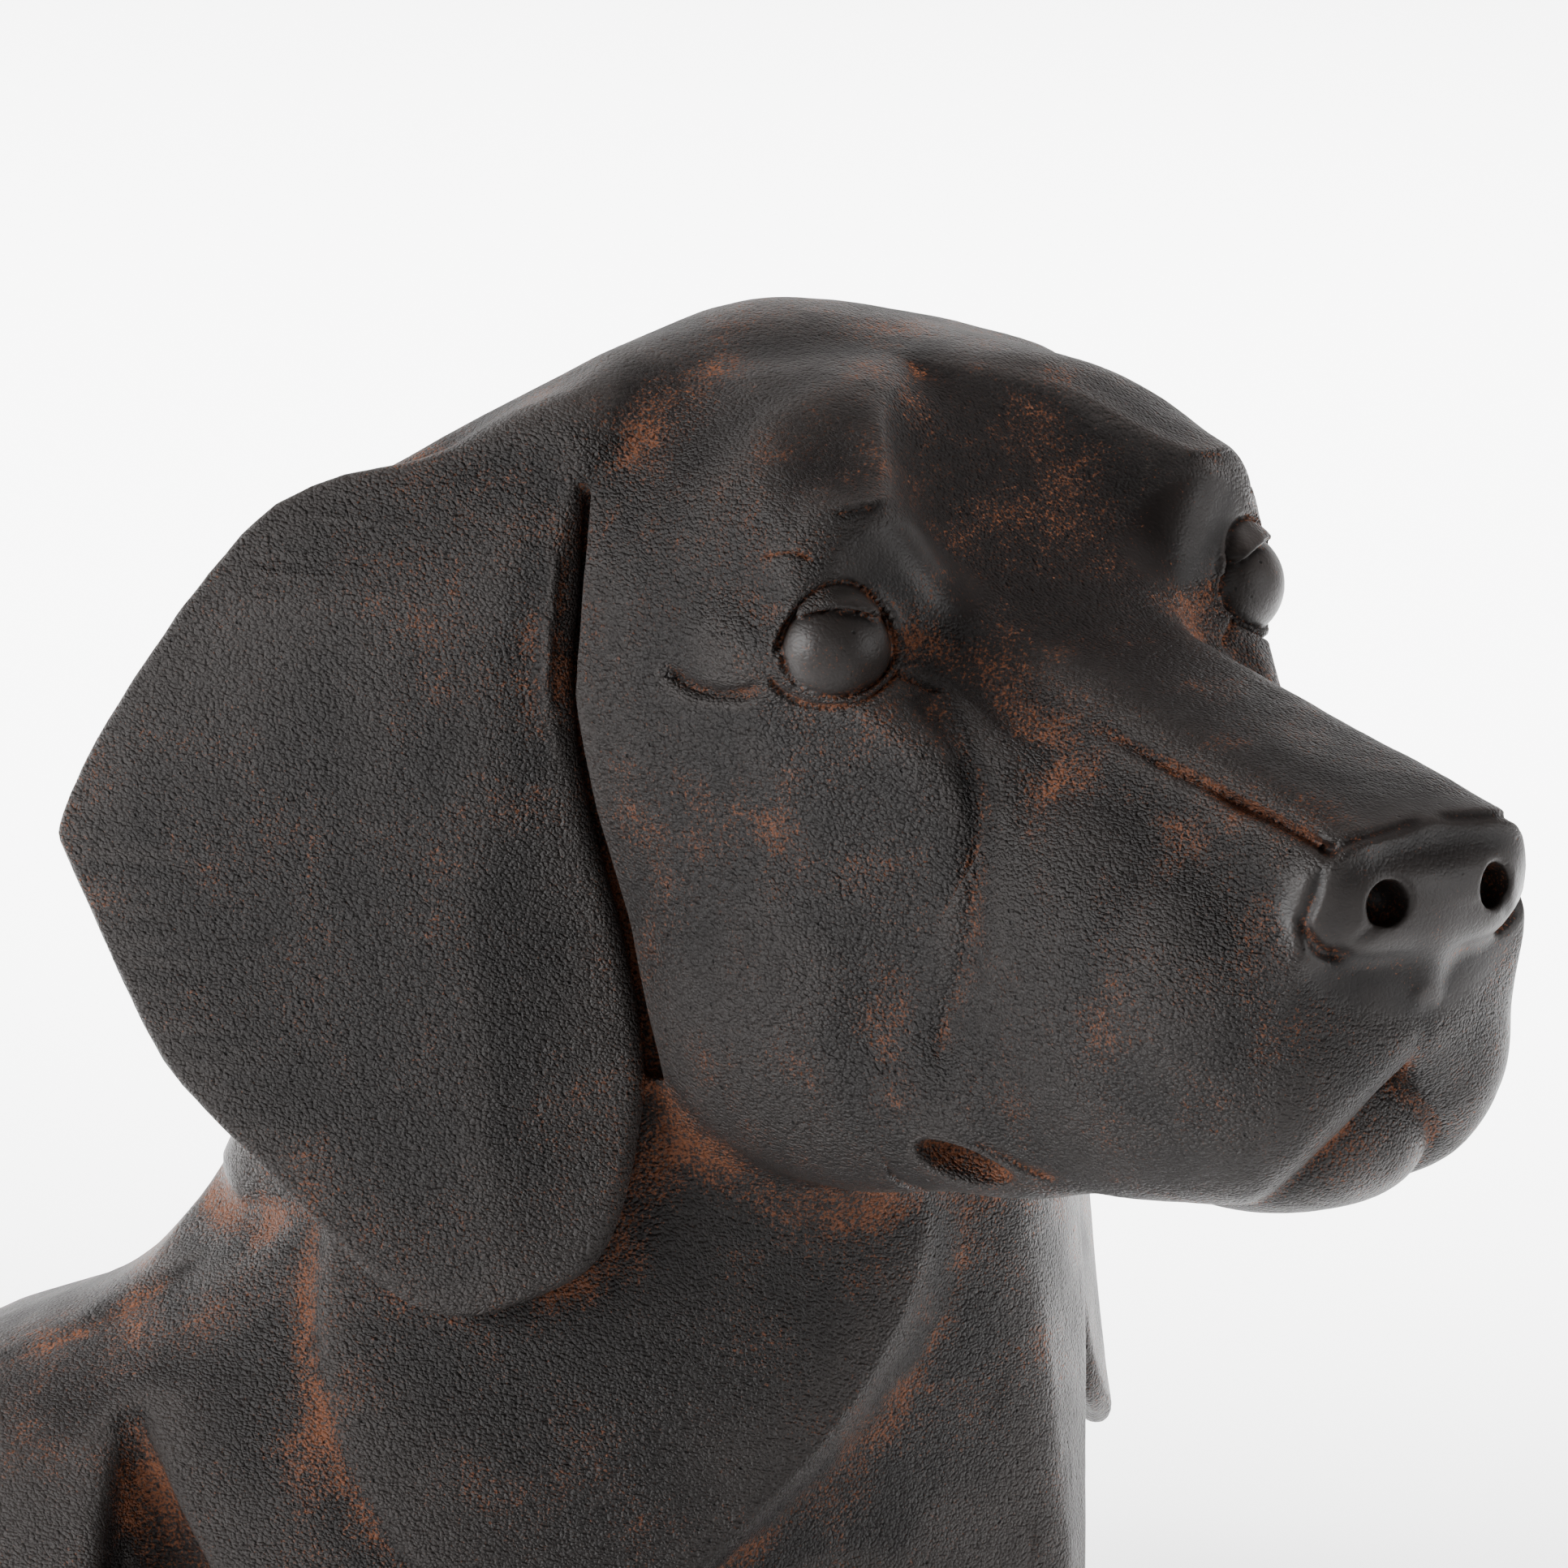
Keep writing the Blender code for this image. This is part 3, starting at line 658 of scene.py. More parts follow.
@dataclass
class Neck:
    """Neck of rounded sections, planed in folds, on the start of the shoulders."""

    rows: tuple[tuple[float, float, float, float], ...] = (
        (2, -14, 12, 15), (-10, -20, 18, 20), (-25, -29, 24, 23), (-38, -34.5, 27, 24),
        (-50, -40, 27.5, 25.5), (-58, -43.5, 28, 27.5), (-68, -46, 28.5, 30), (-88, -48, 29, 33),
    )
    roundness: float = 2.3
    smoothing: int = 14
    blend: float = 4.0
    folds: tuple[Fold, ...] = (
        Fold(Facet((20.6, 14.6, -56), (0.724, 0.687, -0.077), 1.0), 22.5, -49, -0.0205, 1.2, 12),
        Fold(Facet((-35.6, 15.4, -61.5), (-0.547, 0.836, 0.025), 1.0), -26.5, -55, 0.024, -1.3, 1.2),
        Fold(Facet((-34.9, 16.1, -56.2), (-0.75, 0.55, 0.745), 0.5), -30.0, -50, 0.0, -3.0, 2.4, -50.0),
    )
    shoulders: Mass = Mass((-33, 0, -92), (44, 34, 29), 2.6, 12.0)
    hollow: Rod = Rod((-41, 26, -69), (-34, 33.5, -90), (0.5, 8.5), 3.0)

    def shape(self, points: Points) -> Values:
        """Models the neck and shoulders.

        Args:
            points: places in the body's axes.

        Returns:
            Distances to the neck.
        """
        rows = np.array(self.rows[::-1], dtype=float)
        heights = np.linspace(rows[0, 0], rows[-1, 0], 200)
        kernel = np.exp(-np.linspace(-2, 2, 2 * self.smoothing + 1) ** 2)
        kernel /= kernel.sum()
        sizes = []
        for values in rows[:, 1:].T:
            line = np.interp(heights, rows[:, 0], values)
            line = np.convolve(np.pad(line, self.smoothing, mode="edge"), kernel, mode="valid")
            sizes.append(np.interp(points[2], heights, line).astype(np.float32))
        back, front, half_width = sizes
        half_depth = (front - back) / 2
        share = np.abs((points[0] - (front + back) / 2) / half_depth) ** self.roundness
        share += np.abs(points[1] / half_width) ** self.roundness
        section = (share ** (1 / self.roundness) - 1) * np.minimum(half_depth, half_width)
        solid = overlap(section, points[2] - rows[-1, 0], 10.0)
        sides = np.stack((points[0], np.abs(points[1]), points[2]))
        for fold in self.folds:
            cut = work(overlap, solid, sides, fold.facet) - solid
            line = fold.forward + fold.bend * np.maximum(fold.height - sides[2], 0) ** 2
            share = fade(sides[0] - line, -fold.softness, fold.softness) * fade(sides[2], fold.top, fold.top - 5)
            solid += np.minimum(cut, fold.depth) * share
        return work(carve, work(union, solid, points, self.shoulders), sides, self.hollow)


@dataclass
class Relief:
    """Low relief that is scribed or pressed into the finished form."""

    scribes: tuple[Scribe, ...] = (
        # slit above the outer lid
        Scribe(((-22.7, -4.5), (-20.5, -5.0), (-19.0, -4.9), (-17.4, -4.2)), 0.2, 0.4),
        # crease round the upper lid
        Scribe(((-21.4, 4.6), (-20.7, 2.2), (-19.3, -0.6), (-17.6, -2.2), (-15.9, -2.8), (-14.2, -2.3), (-12.7, -0.7),
                (-11.8, 1.6), (-11.4, 4.0)), 0.24, 0.45),
        # line under the lower lid and the tear duct
        Scribe(((-21.4, 4.6), (-20.6, 5.6), (-18.6, 6.7), (-16.3, 6.9), (-13.9, 6.4), (-12.0, 5.0), (-11.4, 4.0)),
               0.22, 0.45, 0.1),
        Scribe(((-11.8, 4.4), (-10.2, 5.0), (-7.6, 6.1)), 0.26, 0.5),
        # crease under the outer bag
        Scribe(((-29.6, 3.3), (-28.4, 4.5), (-26.9, 5.4), (-24.8, 5.85), (-23.0, 5.75), (-21.6, 5.1)), 0.5, 0.85),
        # groove under the bridge's edge, and on between the bridge and the nose pad
        Scribe(((2.7, 7.7), (5.6, 9.2), (9.6, 11.4), (12.6, 12.9), (15.1, 14.4), (17.5, 15.5), (19.8, 16.7)),
               0.6, 0.7, 0.4),
        Scribe(((12.6, 12.9), (15.1, 14.4), (17.5, 15.5), (19.8, 16.7), (22.0, 18.0), (23.0, 18.2)), 0.5, 1.0, 0.3),
        Scribe(((21.2, 17.8), (22.2, 17.9), (24.7, 17.0), (27.1, 16.3), (29.8, 15.5)), 0.45, 0.35, 0.2),
        # crease round the wing of the nose
        Scribe(((21.7, 18.8), (21.2, 20.7), (20.6, 22.4), (20.2, 23.6), (20.6, 24.8), (21.5, 25.8), (22.7, 26.0),
                (24.2, 25.7)), 0.55, 0.6),
        # arc where the cheek meets the muzzle
        Scribe(((-10.5, 4.9), (-8.0, 7.5), (-5.8, 11.4), (-5.0, 15.0), (-4.9, 18.0), (-5.2, 23.2), (-6.1, 27.6),
                (-7.4, 31.9), (-8.6, 35.8)), 1.3, 0.75, 0.12),
        # lips round the mouth's corner
        Scribe(((-12.8, 41.2), (-11.9, 42.8), (-10.6, 43.8), (-8.6, 44.3)), 0.3, 0.35),
        Scribe(((-6.6, 40.3), (-3.7, 41.4), (-1.0, 42.7), (1.7, 43.6)), 0.35, 0.35),
    )

    def shape(self, solid: Values, points: Points) -> Values:
        """Scribes the lines into the head."""
        return scribe_all(solid, points, self.scribes)


def to_head(points: Points) -> Points:
    """Places of the body's axes in the turned head's axes.

    Args:
        points: places in the body's axes.

    Returns:
        The same places in the head's axes.
    """
    turn = radians(HEAD_TURN)
    forward, left, up = points
    ahead = forward * cos(turn) - left * sin(turn) - TURN_AXIS
    return np.stack((ahead, forward * sin(turn) + left * cos(turn), up))


@dataclass
class Bust:
    """The whole casting, put together from its parts."""

    skull: Skull = field(default_factory=Skull)
    muzzle: Muzzle = field(default_factory=Muzzle)
    nose: Nose = field(default_factory=Nose)
    mouth: Mouth = field(default_factory=Mouth)
    eye: Eye = field(default_factory=Eye)
    relief: Relief = field(default_factory=Relief)
    neck: Neck = field(default_factory=Neck)
    ears: tuple[Ear, ...] = (Ear(Side.RIGHT, 1.0, 3.0, 0.0), Ear(Side.LEFT, 1.22, 1.4, 1.8))
    smoothed: tuple[Mass, ...] = (Mass((45, 0, -15), (7, 12, 9)), Mass((3, 14, 6), (5, 9, 5)))

    def shape(self, points: Points) -> Values:
        """Models the bust.

        Args:
            points: places in the body's axes.

        Returns:
            Distances to the bust, negative inside.
        """
        in_head = to_head(points)
        half = np.stack((in_head[0], np.sqrt(in_head[1] ** 2 + 0.02), in_head[2]))
        solid = union(self.skull.shape(half), self.muzzle.shape(half), self.muzzle.blend)
        solid = self.skull.plane_cheek(solid, half)
        solid = self.nose.shape(solid, half)
        solid = self.mouth.shape(solid, half)
        solid = self.eye.shape(solid, half)
        solid = self.relief.shape(solid, half)
        solid = union(solid, self.neck.shape(points), self.neck.blend)
        for ear in self.ears:
            solid = ear.shape(solid, in_head)
        return solid

    def sleek(self, half: Points) -> Values:
        """Says where the surface was smoothed and has no leathery skin.

        Args:
            half: places in the half head's axes.

        Returns:
            The share of smoothing at each place.
        """
        ball = np.sqrt(((half - column(self.eye.centre)) ** 2).sum(0)) - self.eye.ball
        sleek = fade(ball, 0.3, 0.1)
        for place in self.smoothed:
            sleek = np.maximum(sleek, fade(place.distance(half), 0.8, -0.8))
        return sleek


def vertex_places(mesh: bpy.types.Mesh) -> Points:
    """Reads where a mesh's vertices are.

    Args:
        mesh: the mesh to read.

    Returns:
        Their places, as three rows.
    """
    places = np.empty(len(mesh.vertices) * 3, dtype=np.float32)
    mesh.vertices.foreach_get("co", places)
    return places.reshape(-1, 3).T.copy()


def move_vertices(mesh: bpy.types.Mesh, places: Points) -> None:
    """Puts a mesh's vertices at the places in three rows."""
    mesh.vertices.foreach_set("co", places.T.ravel())
    mesh.update()


@dataclass
class Casting:
    """Turns the sculpted form into one fine mesh."""

    bust: Bust
    fine: float = 0.3
    coarse: float = 0.7
    low: Vec = (-81.0, -61.0, FOOT - 3)
    high: Vec = (81.0, 67.0, 27.0)
    face_low: Vec = (14.0, -58.0, -43.0)
    face_high: Vec = (76.0, 0.0, 17.0)
    block: int = 6
    triangles: int = 196_000
    slice_points: int = 400_000
    groove_weights: tuple[tuple[int, float], ...] = ((2, 4.0), (6, 2.0), (16, 1.0))
    hollow_reaches: tuple[tuple[float, float], ...] = ((2.0, 0.6), (5.0, 0.6))

    def values(self, points: Points) -> Values:
        """Works out the field in slices, to save memory.

        Args:
            points: places in the body's axes.

        Returns:
            Distances to the bust at each place.
        """
        count = points.shape[1]
        slices = range(0, count, self.slice_points)
        return np.concatenate([self.bust.shape(points[:, start:start + self.slice_points]) for start in slices])

    def axis(self, number: int) -> np.ndarray:
        """Grid places along one axis, close together over the face.

        Args:
            number: which of the three axes.

        Returns:
            The places, a whole number of blocks of them.
        """
        places = [self.low[number]]
        while places[-1] < self.high[number] or len(places) % self.block:
            outside = max(self.face_low[number] - places[-1], places[-1] - self.face_high[number], 0.0)
            places.append(places[-1] + self.fine + (self.coarse - self.fine) * min(1.0, outside / 8))
        return np.array(places, dtype=np.float32)

    def sample(self, axes: list[np.ndarray]) -> np.ndarray:
        """Samples the field finely near the surface and once a block elsewhere.

        Args:
            axes: the grid's places along its three axes.

        Returns:
            Values on the full grid, right in sign everywhere.
        """
        folded = [places.reshape(-1, self.block) for places in axes]
        cells = [len(places) for places in folded]
        blocks = np.indices(cells).reshape(3, -1)
        middles = np.stack([places.mean(1)[index] for places, index in zip(folded, blocks)])
        widths = np.stack([np.ptp(places, 1)[index] for places, index in zip(folded, blocks)])
        coarse = self.values(middles)
        near = np.abs(coarse) < 0.9 * np.sqrt((widths ** 2).sum(0)) + 0.6
        grid = coarse.reshape(cells)
        for axis in range(3):
            grid = np.repeat(grid, self.block, axis)
        inner = np.indices((self.block,) * 3).reshape(3, -1)
        places = (blocks[:, near, None] * self.block + inner[:, None]).reshape(3, -1)
        LOG.info("field points: %d", places.shape[1])
        grid[tuple(places)] = self.values(np.stack([line[index] for line, index in zip(axes, places)]))
        for axis in range(3):
            for end in (0, -1):
                border = [slice(None)] * 3
                border[axis] = end
                grid[tuple(border)] = np.maximum(grid[tuple(border)], 0.5)
        return grid

    def polygonise(self, values: np.ndarray, axes: list[np.ndarray]) -> tuple[np.ndarray, np.ndarray]:
        """Marching tetrahedra: a closed mesh where the field is zero.

        Args:
            values: field values on the full grid.
            axes: the grid's places along its three axes.

        Returns:
            Vertices in parts and the triangles that join them.
        """
        still = 0.02 * self.fine
        values = np.where(np.abs(values) < still, np.where(values < 0, -still, still), values)
        shape = np.array(values.shape)
        strides = np.array((shape[1] * shape[2], shape[2], 1))
        inside = values < 0
        corner_sum = sum(
            inside[i:shape[0] - 1 + i, j:shape[1] - 1 + j, k:shape[2] - 1 + k].astype(np.int8)
            for i in (0, 1) for j in (0, 1) for k in (0, 1)
        )
        cells = np.argwhere((corner_sum > 0) & (corner_sum < 8)) @ strides
        flat_inside, flat_values = inside.ravel(), values.ravel()
        pairs, solid_side = [], []
        for order in permutations(strides):
            corners = cells[:, None] + np.concatenate(((0,), np.cumsum(order)))
            buried = flat_inside[corners]
            for count in (1, 2, 3):
                chosen = corners[buried.sum(1) == count]
                ranks = np.argsort(~flat_inside[chosen], axis=1, kind="stable")
                sorted_corners = np.take_along_axis(chosen, ranks, 1)
                within, without = sorted_corners[:, :count], sorted_corners[:, count:]
                faces = {
                    1: [[(0, 0), (0, 1), (0, 2)]],
                    2: [[(0, 0), (0, 1), (1, 1)], [(0, 0), (1, 1), (1, 0)]],
                    3: [[(0, 0), (1, 0), (2, 0)]],
                }[count]
                for face in faces:
                    pairs.append(np.stack([np.stack((within[:, a], without[:, b]), 1) for a, b in face], 1))
                    solid_side.append(within[:, 0])
        pairs, solid_side = np.concatenate(pairs), np.concatenate(solid_side)
        keys, faces = np.unique(pairs[..., 0] * shape.prod() + pairs[..., 1], return_inverse=True)
        faces = faces.reshape(-1, 3)
        ends = np.stack((keys // shape.prod(), keys % shape.prod()))
        places = np.stack(np.unravel_index(ends, shape), -1).astype(float)
        weight = flat_values[ends[0]] / (flat_values[ends[0]] - flat_values[ends[1]])
        vertices = places[0] + (places[1] - places[0]) * weight[:, None]
        corners = vertices[faces]
        normals = np.cross(corners[:, 1] - corners[:, 0], corners[:, 2] - corners[:, 0])
        anchor = np.stack(np.unravel_index(solid_side, shape), -1)
        wrong = ((corners[:, 0] - anchor) * normals).sum(1) < 0
        faces[wrong] = faces[wrong][:, ::-1]
        counts = [np.arange(len(line)) for line in axes]
        return np.stack([np.interp(v, n, line) for v, n, line in zip(vertices.T, counts, axes)], 1), faces

    def slopes(self, points: Points, reach: float = 0.15) -> tuple[Values, Points]:
        """Field values and their gradient.

        Args:
            points: places in the body's axes.
            reach: half the distance over which the gradient is taken.

        Returns:
            The values and the gradients, which point outwards.
        """
        value = self.values(points)
        slope = []
        for axis in range(3):
            aside = np.zeros((3, 1), dtype=np.float32)
            aside[axis] = reach
            slope.append((self.values(points + aside) - self.values(points - aside)) / (2 * reach))
        return value, np.stack(slope)

    def settle(self, mesh: bpy.types.Mesh) -> None:
        """Moves the thinned mesh's vertices back onto the sculpted surface.

        Args:
            mesh: the mesh in parts.
        """
        places = vertex_places(mesh)
        for _ in range(2):
            value, slope = self.slopes(places)
            steep = np.maximum((slope * slope).sum(0), 0.2)
            places -= slope * np.clip(value / steep, -0.3, 0.3)
        move_vertices(mesh, places)

    def thin_out(self, source: bpy.types.Mesh) -> bpy.types.Mesh:
        """Thins the dense mesh to the wanted number of triangles.

        Args:
            source: the dense mesh.

        Returns:
            A new, thinner mesh.
        """
        carrier = bpy.data.objects.new("dense_casting", source)
        bpy.context.scene.collection.objects.link(carrier)
        thinner = carrier.modifiers.new("Thin out", "DECIMATE")
        thinner.ratio = min(1.0, self.triangles / len(source.polygons))
        evaluated = carrier.evaluated_get(bpy.context.evaluated_depsgraph_get())
        mesh = bpy.data.meshes.new_from_object(evaluated)
        bpy.data.objects.remove(carrier, do_unlink=True)
        bpy.data.meshes.remove(source)
        return mesh

    def cut_flat(self, mesh: bpy.types.Mesh) -> None:
        """Cuts the mesh flat at the foot and closes it there.

        Args:
            mesh: the mesh in parts.
        """
        shape = bmesh.new()
        shape.from_mesh(mesh)
        everything = shape.verts[:] + shape.edges[:] + shape.faces[:]
        cut = bmesh.ops.bisect_plane(
            shape, geom=everything, dist=1e-4, plane_co=(0, 0, FOOT), plane_no=(0, 0, -1), clear_outer=True)
        rim = [item for item in cut["geom_cut"] if isinstance(item, bmesh.types.BMEdge)]
        bmesh.ops.contextual_create(shape, geom=rim)
        for edge in rim:
            edge.smooth = False
        bmesh.ops.triangulate(shape, faces=shape.faces[:])
        shape.to_mesh(mesh)
        shape.free()

    def build(self) -> bpy.types.Mesh:
        """Makes the fine mesh of the casting.

        Returns:
            The mesh in metres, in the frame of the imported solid.
        """
        axes = [self.axis(number) for number in range(3)]
        vertices, faces = self.polygonise(self.sample(axes), axes)
        dense = bpy.data.meshes.new("dense_casting")
        dense.vertices.add(len(vertices))
        dense.vertices.foreach_set("co", vertices.astype(np.float32).ravel())
        dense.loops.add(len(faces) * 3)
        dense.loops.foreach_set("vertex_index", faces.ravel().astype(np.int32))
        dense.polygons.add(len(faces))
        dense.polygons.foreach_set("loop_start", np.arange(0, len(faces) * 3, 3, dtype=np.int32))
        dense.update(calc_edges=True)
        LOG.info("dense casting: %d triangles", len(faces))
        mesh = self.thin_out(dense)
        self.settle(mesh)
        self.cut_flat(mesh)
        self.mark(mesh)
        move_vertices(mesh, to_world(vertex_places(mesh)))
        mesh.shade_smooth()
        return mesh

    def mark(self, mesh: bpy.types.Mesh) -> None:
        """Gives the mesh what its finish reads: how hollow, how edged and how sleek it is.

        Args:
            mesh: the mesh in parts.
        """
        count = len(mesh.vertices)
        where, normals = vertex_places(mesh), np.empty((count, 3), dtype=np.float32)
        places = where.T
        mesh.vertices.foreach_get("normal", normals.ravel())
        ends = np.empty(len(mesh.edges) * 2, dtype=np.int32)
        mesh.edges.foreach_get("vertices", ends)
        first, second = ends.reshape(-1, 2).T
        degree = np.bincount(ends, minlength=count)[:, None]
        relaxed, groove = places.astype(float), np.zeros(count)
        weights = dict(self.groove_weights)
        for turn in range(1, max(weights) + 1):
            total = np.stack([
                np.bincount(first, relaxed[second, axis], count) + np.bincount(second, relaxed[first, axis], count)
                for axis in range(3)], 1)
            relaxed = total / degree
            if turn in weights:
                groove += ((relaxed - places) * normals).sum(1) * weights[turn]
        outward = normals.T
        deep = np.zeros(count, dtype=np.float32)
        for reach, share in self.hollow_reaches:
            deep += share * np.clip(1 - self.values(where + outward * reach) / reach, 0, 1)
        head = to_head(where)
        half = np.stack((head[0], np.abs(head[1]), head[2]))
        masks = {"hollow": deep + groove, "edge": -groove, "sleek": self.bust.sleek(half)}
        for name, values in masks.items():
            layer = mesh.attributes.new(name, "FLOAT", "POINT")
            layer.data.foreach_set("value", np.clip(values, 0, 1).astype(np.float32))


def to_world(points: Points) -> Points:
    """From the body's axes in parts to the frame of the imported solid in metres."""
    return np.stack((points[1], -points[0], points[2])) * PART + column(BODY_ORIGIN)


def linear(code: str) -> tuple[float, float, float, float]:
    """Turns a colour code into the linear colour that shaders take.

    Args:
        code: hexadecimal sRGB code, such as "#2A2422".

    Returns:
        Linear red, green, blue and full opacity.
    """
    channels = [int(code[place:place + 2], 16) / 255 for place in (1, 3, 5)]
    return (*(c / 12.92 if c <= 0.04045 else ((c + 0.055) / 1.055) ** 2.4 for c in channels), 1.0)


def add_node(tree: bpy.types.NodeTree, kind: str, inputs: dict | None = None, **settings) -> bpy.types.Node:
    """Adds one node.

    Args:
        tree: tree that gets the node.
        kind: the node's type.
        inputs: value or incoming socket for each input, by name or number.
        **settings: the node's own settings.

    Returns:
        The new node.
    """
    node = tree.nodes.new(kind)
    for name, value in settings.items():
        setattr(node, name, value)
    for name, value in (inputs or {}).items():
        if isinstance(value, bpy.types.NodeSocket):
            tree.links.new(value, node.inputs[name])
        else:
            node.inputs[name].default_value = value
    return node


@dataclass(frozen=True)
class PatinatedCast:
    """Cast stone resin with a dark brown-black patina, rubbed back to a satin.

    The casting is poured and brushed with a dark stain.  A rust-coloured wash
    stays in its hollows, and the hand rubs the high edges a little paler.
    """

    stain: str = "#252120"
    worn: str = "#36312F"
    rust: str = "#74452B"
    deep: str = "#161211"
    roughness: float = 0.45
    gloss_drift: float = 0.07
    specular_level: float = 0.35
    wrinkle_mm: float = 0.5
    grain_mm: float = 1.6
    speck_mm: float = 0.5
    mottle_mm: float = 14.0
    pore_mm: float = 4.5
    wrinkle_depth_mm: float = 0.3
    wrinkle_stretch: Vec = (0.62, 1.0, 1.0)
    pore_rim: tuple[float, float] = (0.09, 0.04)
    skin_shares: tuple[float, ...] = (1.2, -1.6, 1.2, -2.5)
    wash_shares: tuple[float, ...] = (1.8, 1.1, 0.28, 0.12, -0.12)
    wash_range: tuple[float, float] = (1.67, 1.97)
    wash_most: float = 0.9
    rust_dulling: float = 0.25

    def material(self) -> bpy.types.Material:
        """Builds the finish.

        Returns:
            The finish for the casting.
        """
        finish = bpy.data.materials.new("patinated_cast_resin")
        finish.use_nodes = True
        tree = finish.node_tree
        tree.nodes.clear()
        place = add_node(tree, "ShaderNodeTexCoord").outputs["Object"]
        hollow, edge, sleek = (
            add_node(tree, "ShaderNodeAttribute", attribute_name=name).outputs["Fac"]
            for name in ("hollow", "edge", "sleek")
        )
        mottle = add_node(tree, "ShaderNodeTexNoise", {
            "Vector": place, "Scale": 1000 / self.mottle_mm, "Detail": 4.0, "Roughness": 0.6}).outputs["Fac"]
        speck = add_node(tree, "ShaderNodeTexNoise", {
            "Vector": place, "Scale": 1000 / self.speck_mm, "Detail": 3.0, "Roughness": 0.65}).outputs["Fac"]
        # The skin's creases run along the muzzle
        turned = add_node(tree, "ShaderNodeVectorRotate", {
            "Vector": place, "Angle": radians(90 + HEAD_TURN)}, rotation_type="Z_AXIS").outputs[0]
        drawn = add_node(tree, "ShaderNodeVectorMath", {
            0: turned, 1: self.wrinkle_stretch}, operation="MULTIPLY").outputs[0]
        sway = add_node(tree, "ShaderNodeTexNoise", {
            "Vector": drawn, "Scale": 1000 / self.wrinkle_mm / 2.5, "Detail": 2.0}).outputs["Color"]
        drawn = add_node(tree, "ShaderNodeVectorMath", {
            0: sway, 1: (self.wrinkle_mm / 700,) * 3, 2: drawn}, operation="MULTIPLY_ADD").outputs[0]
        fold = add_node(tree, "ShaderNodeTexVoronoi", {
            "Vector": drawn, "Scale": 1000 / self.wrinkle_mm}).outputs[0]
        fold = add_node(tree, "ShaderNodeMath", {0: fold, 1: fold}, operation="MULTIPLY").outputs[0]
        grain = add_node(tree, "ShaderNodeTexNoise", {
            "Vector": place, "Scale": 1000 / self.grain_mm, "Detail": 2.0}).outputs["Fac"]
        # Pin-prick pores that air bubbles left in the poured skin, pressed in by the bump and painted darker as
        # painted shade in their pits
        pore = add_node(tree, "ShaderNodeTexVoronoi", {
            "Vector": place, "Scale": 1000 / self.pore_mm}).outputs["Distance"]
        pore = add_node(tree, "ShaderNodeMapRange", {
            "Value": pore, "From Min": self.pore_rim[0], "From Max": self.pore_rim[1]},
            clamp=True, interpolation_type="SMOOTHSTEP").outputs[0]
        skin = 0.0
        for relief, share in zip((grain, fold, speck, pore), self.skin_shares, strict=True):
            skin = add_node(tree, "ShaderNodeMath", {
                0: relief, 1: share, 2: skin}, operation="MULTIPLY_ADD").outputs[0]
        held = add_node(tree, "ShaderNodeMapRange", {
            "Value": sleek, "To Min": 1.0, "To Max": 0.1}, clamp=True).outputs[0]
        skin = add_node(tree, "ShaderNodeMath", {0: skin, 1: held}, operation="MULTIPLY").outputs[0]
        bump = add_node(tree, "ShaderNodeBump", {
            "Height": skin, "Strength": 1.0, "Distance": self.wrinkle_depth_mm / 1000}).outputs["Normal"]
        # Rust-coloured wash in specks, thickest in the hollows and in patches, and in the creases of the skin
        wash = 0.0
        for mask, share in zip((speck, mottle, hollow, fold, sleek), self.wash_shares, strict=True):
            wash = add_node(tree, "ShaderNodeMath", {0: mask, 1: share, 2: wash}, operation="MULTIPLY_ADD").outputs[0]
        rusty = add_node(tree, "ShaderNodeMapRange", {
            "Value": wash, "From Min": self.wash_range[0], "From Max": self.wash_range[1], "To Max": self.wash_most},
            clamp=True, interpolation_type="SMOOTHSTEP").outputs[0]
        rubbed = add_node(tree, "ShaderNodeMapRange", {
            "Value": edge, "From Min": 0.1, "From Max": 0.7, "To Max": 0.7}, clamp=True).outputs[0]
        # The base is the deep colour, lightened towards the stain by the mottle; at the pores the deep colour comes
        # back as painted shade in their pits
        tone = linear(self.deep)
        for factor, colour in ((mottle, self.stain), (rubbed, self.worn), (rusty, self.rust), (pore, self.deep)):
            tone = add_node(tree, "ShaderNodeMix", {
                "Factor": factor, "A": tone, "B": linear(colour)}, data_type="RGBA").outputs["Result"]
        gloss = add_node(tree, "ShaderNodeMapRange", {
            "Value": mottle, "From Min": 0.3, "From Max": 0.7,
            "To Min": self.roughness + self.gloss_drift, "To Max": self.roughness - self.gloss_drift}).outputs[0]
        gloss = add_node(tree, "ShaderNodeMath", {
            0: rusty, 1: self.rust_dulling, 2: gloss}, operation="MULTIPLY_ADD").outputs[0]
        shader = add_node(tree, "ShaderNodeBsdfPrincipled", {
            "Base Color": tone, "Roughness": gloss, "Metallic": 0.0, "IOR": 1.5,
            "Specular IOR Level": self.specular_level, "Normal": bump})
        add_node(tree, "ShaderNodeOutputMaterial", {"Surface": shader.outputs[0]})
        return finish


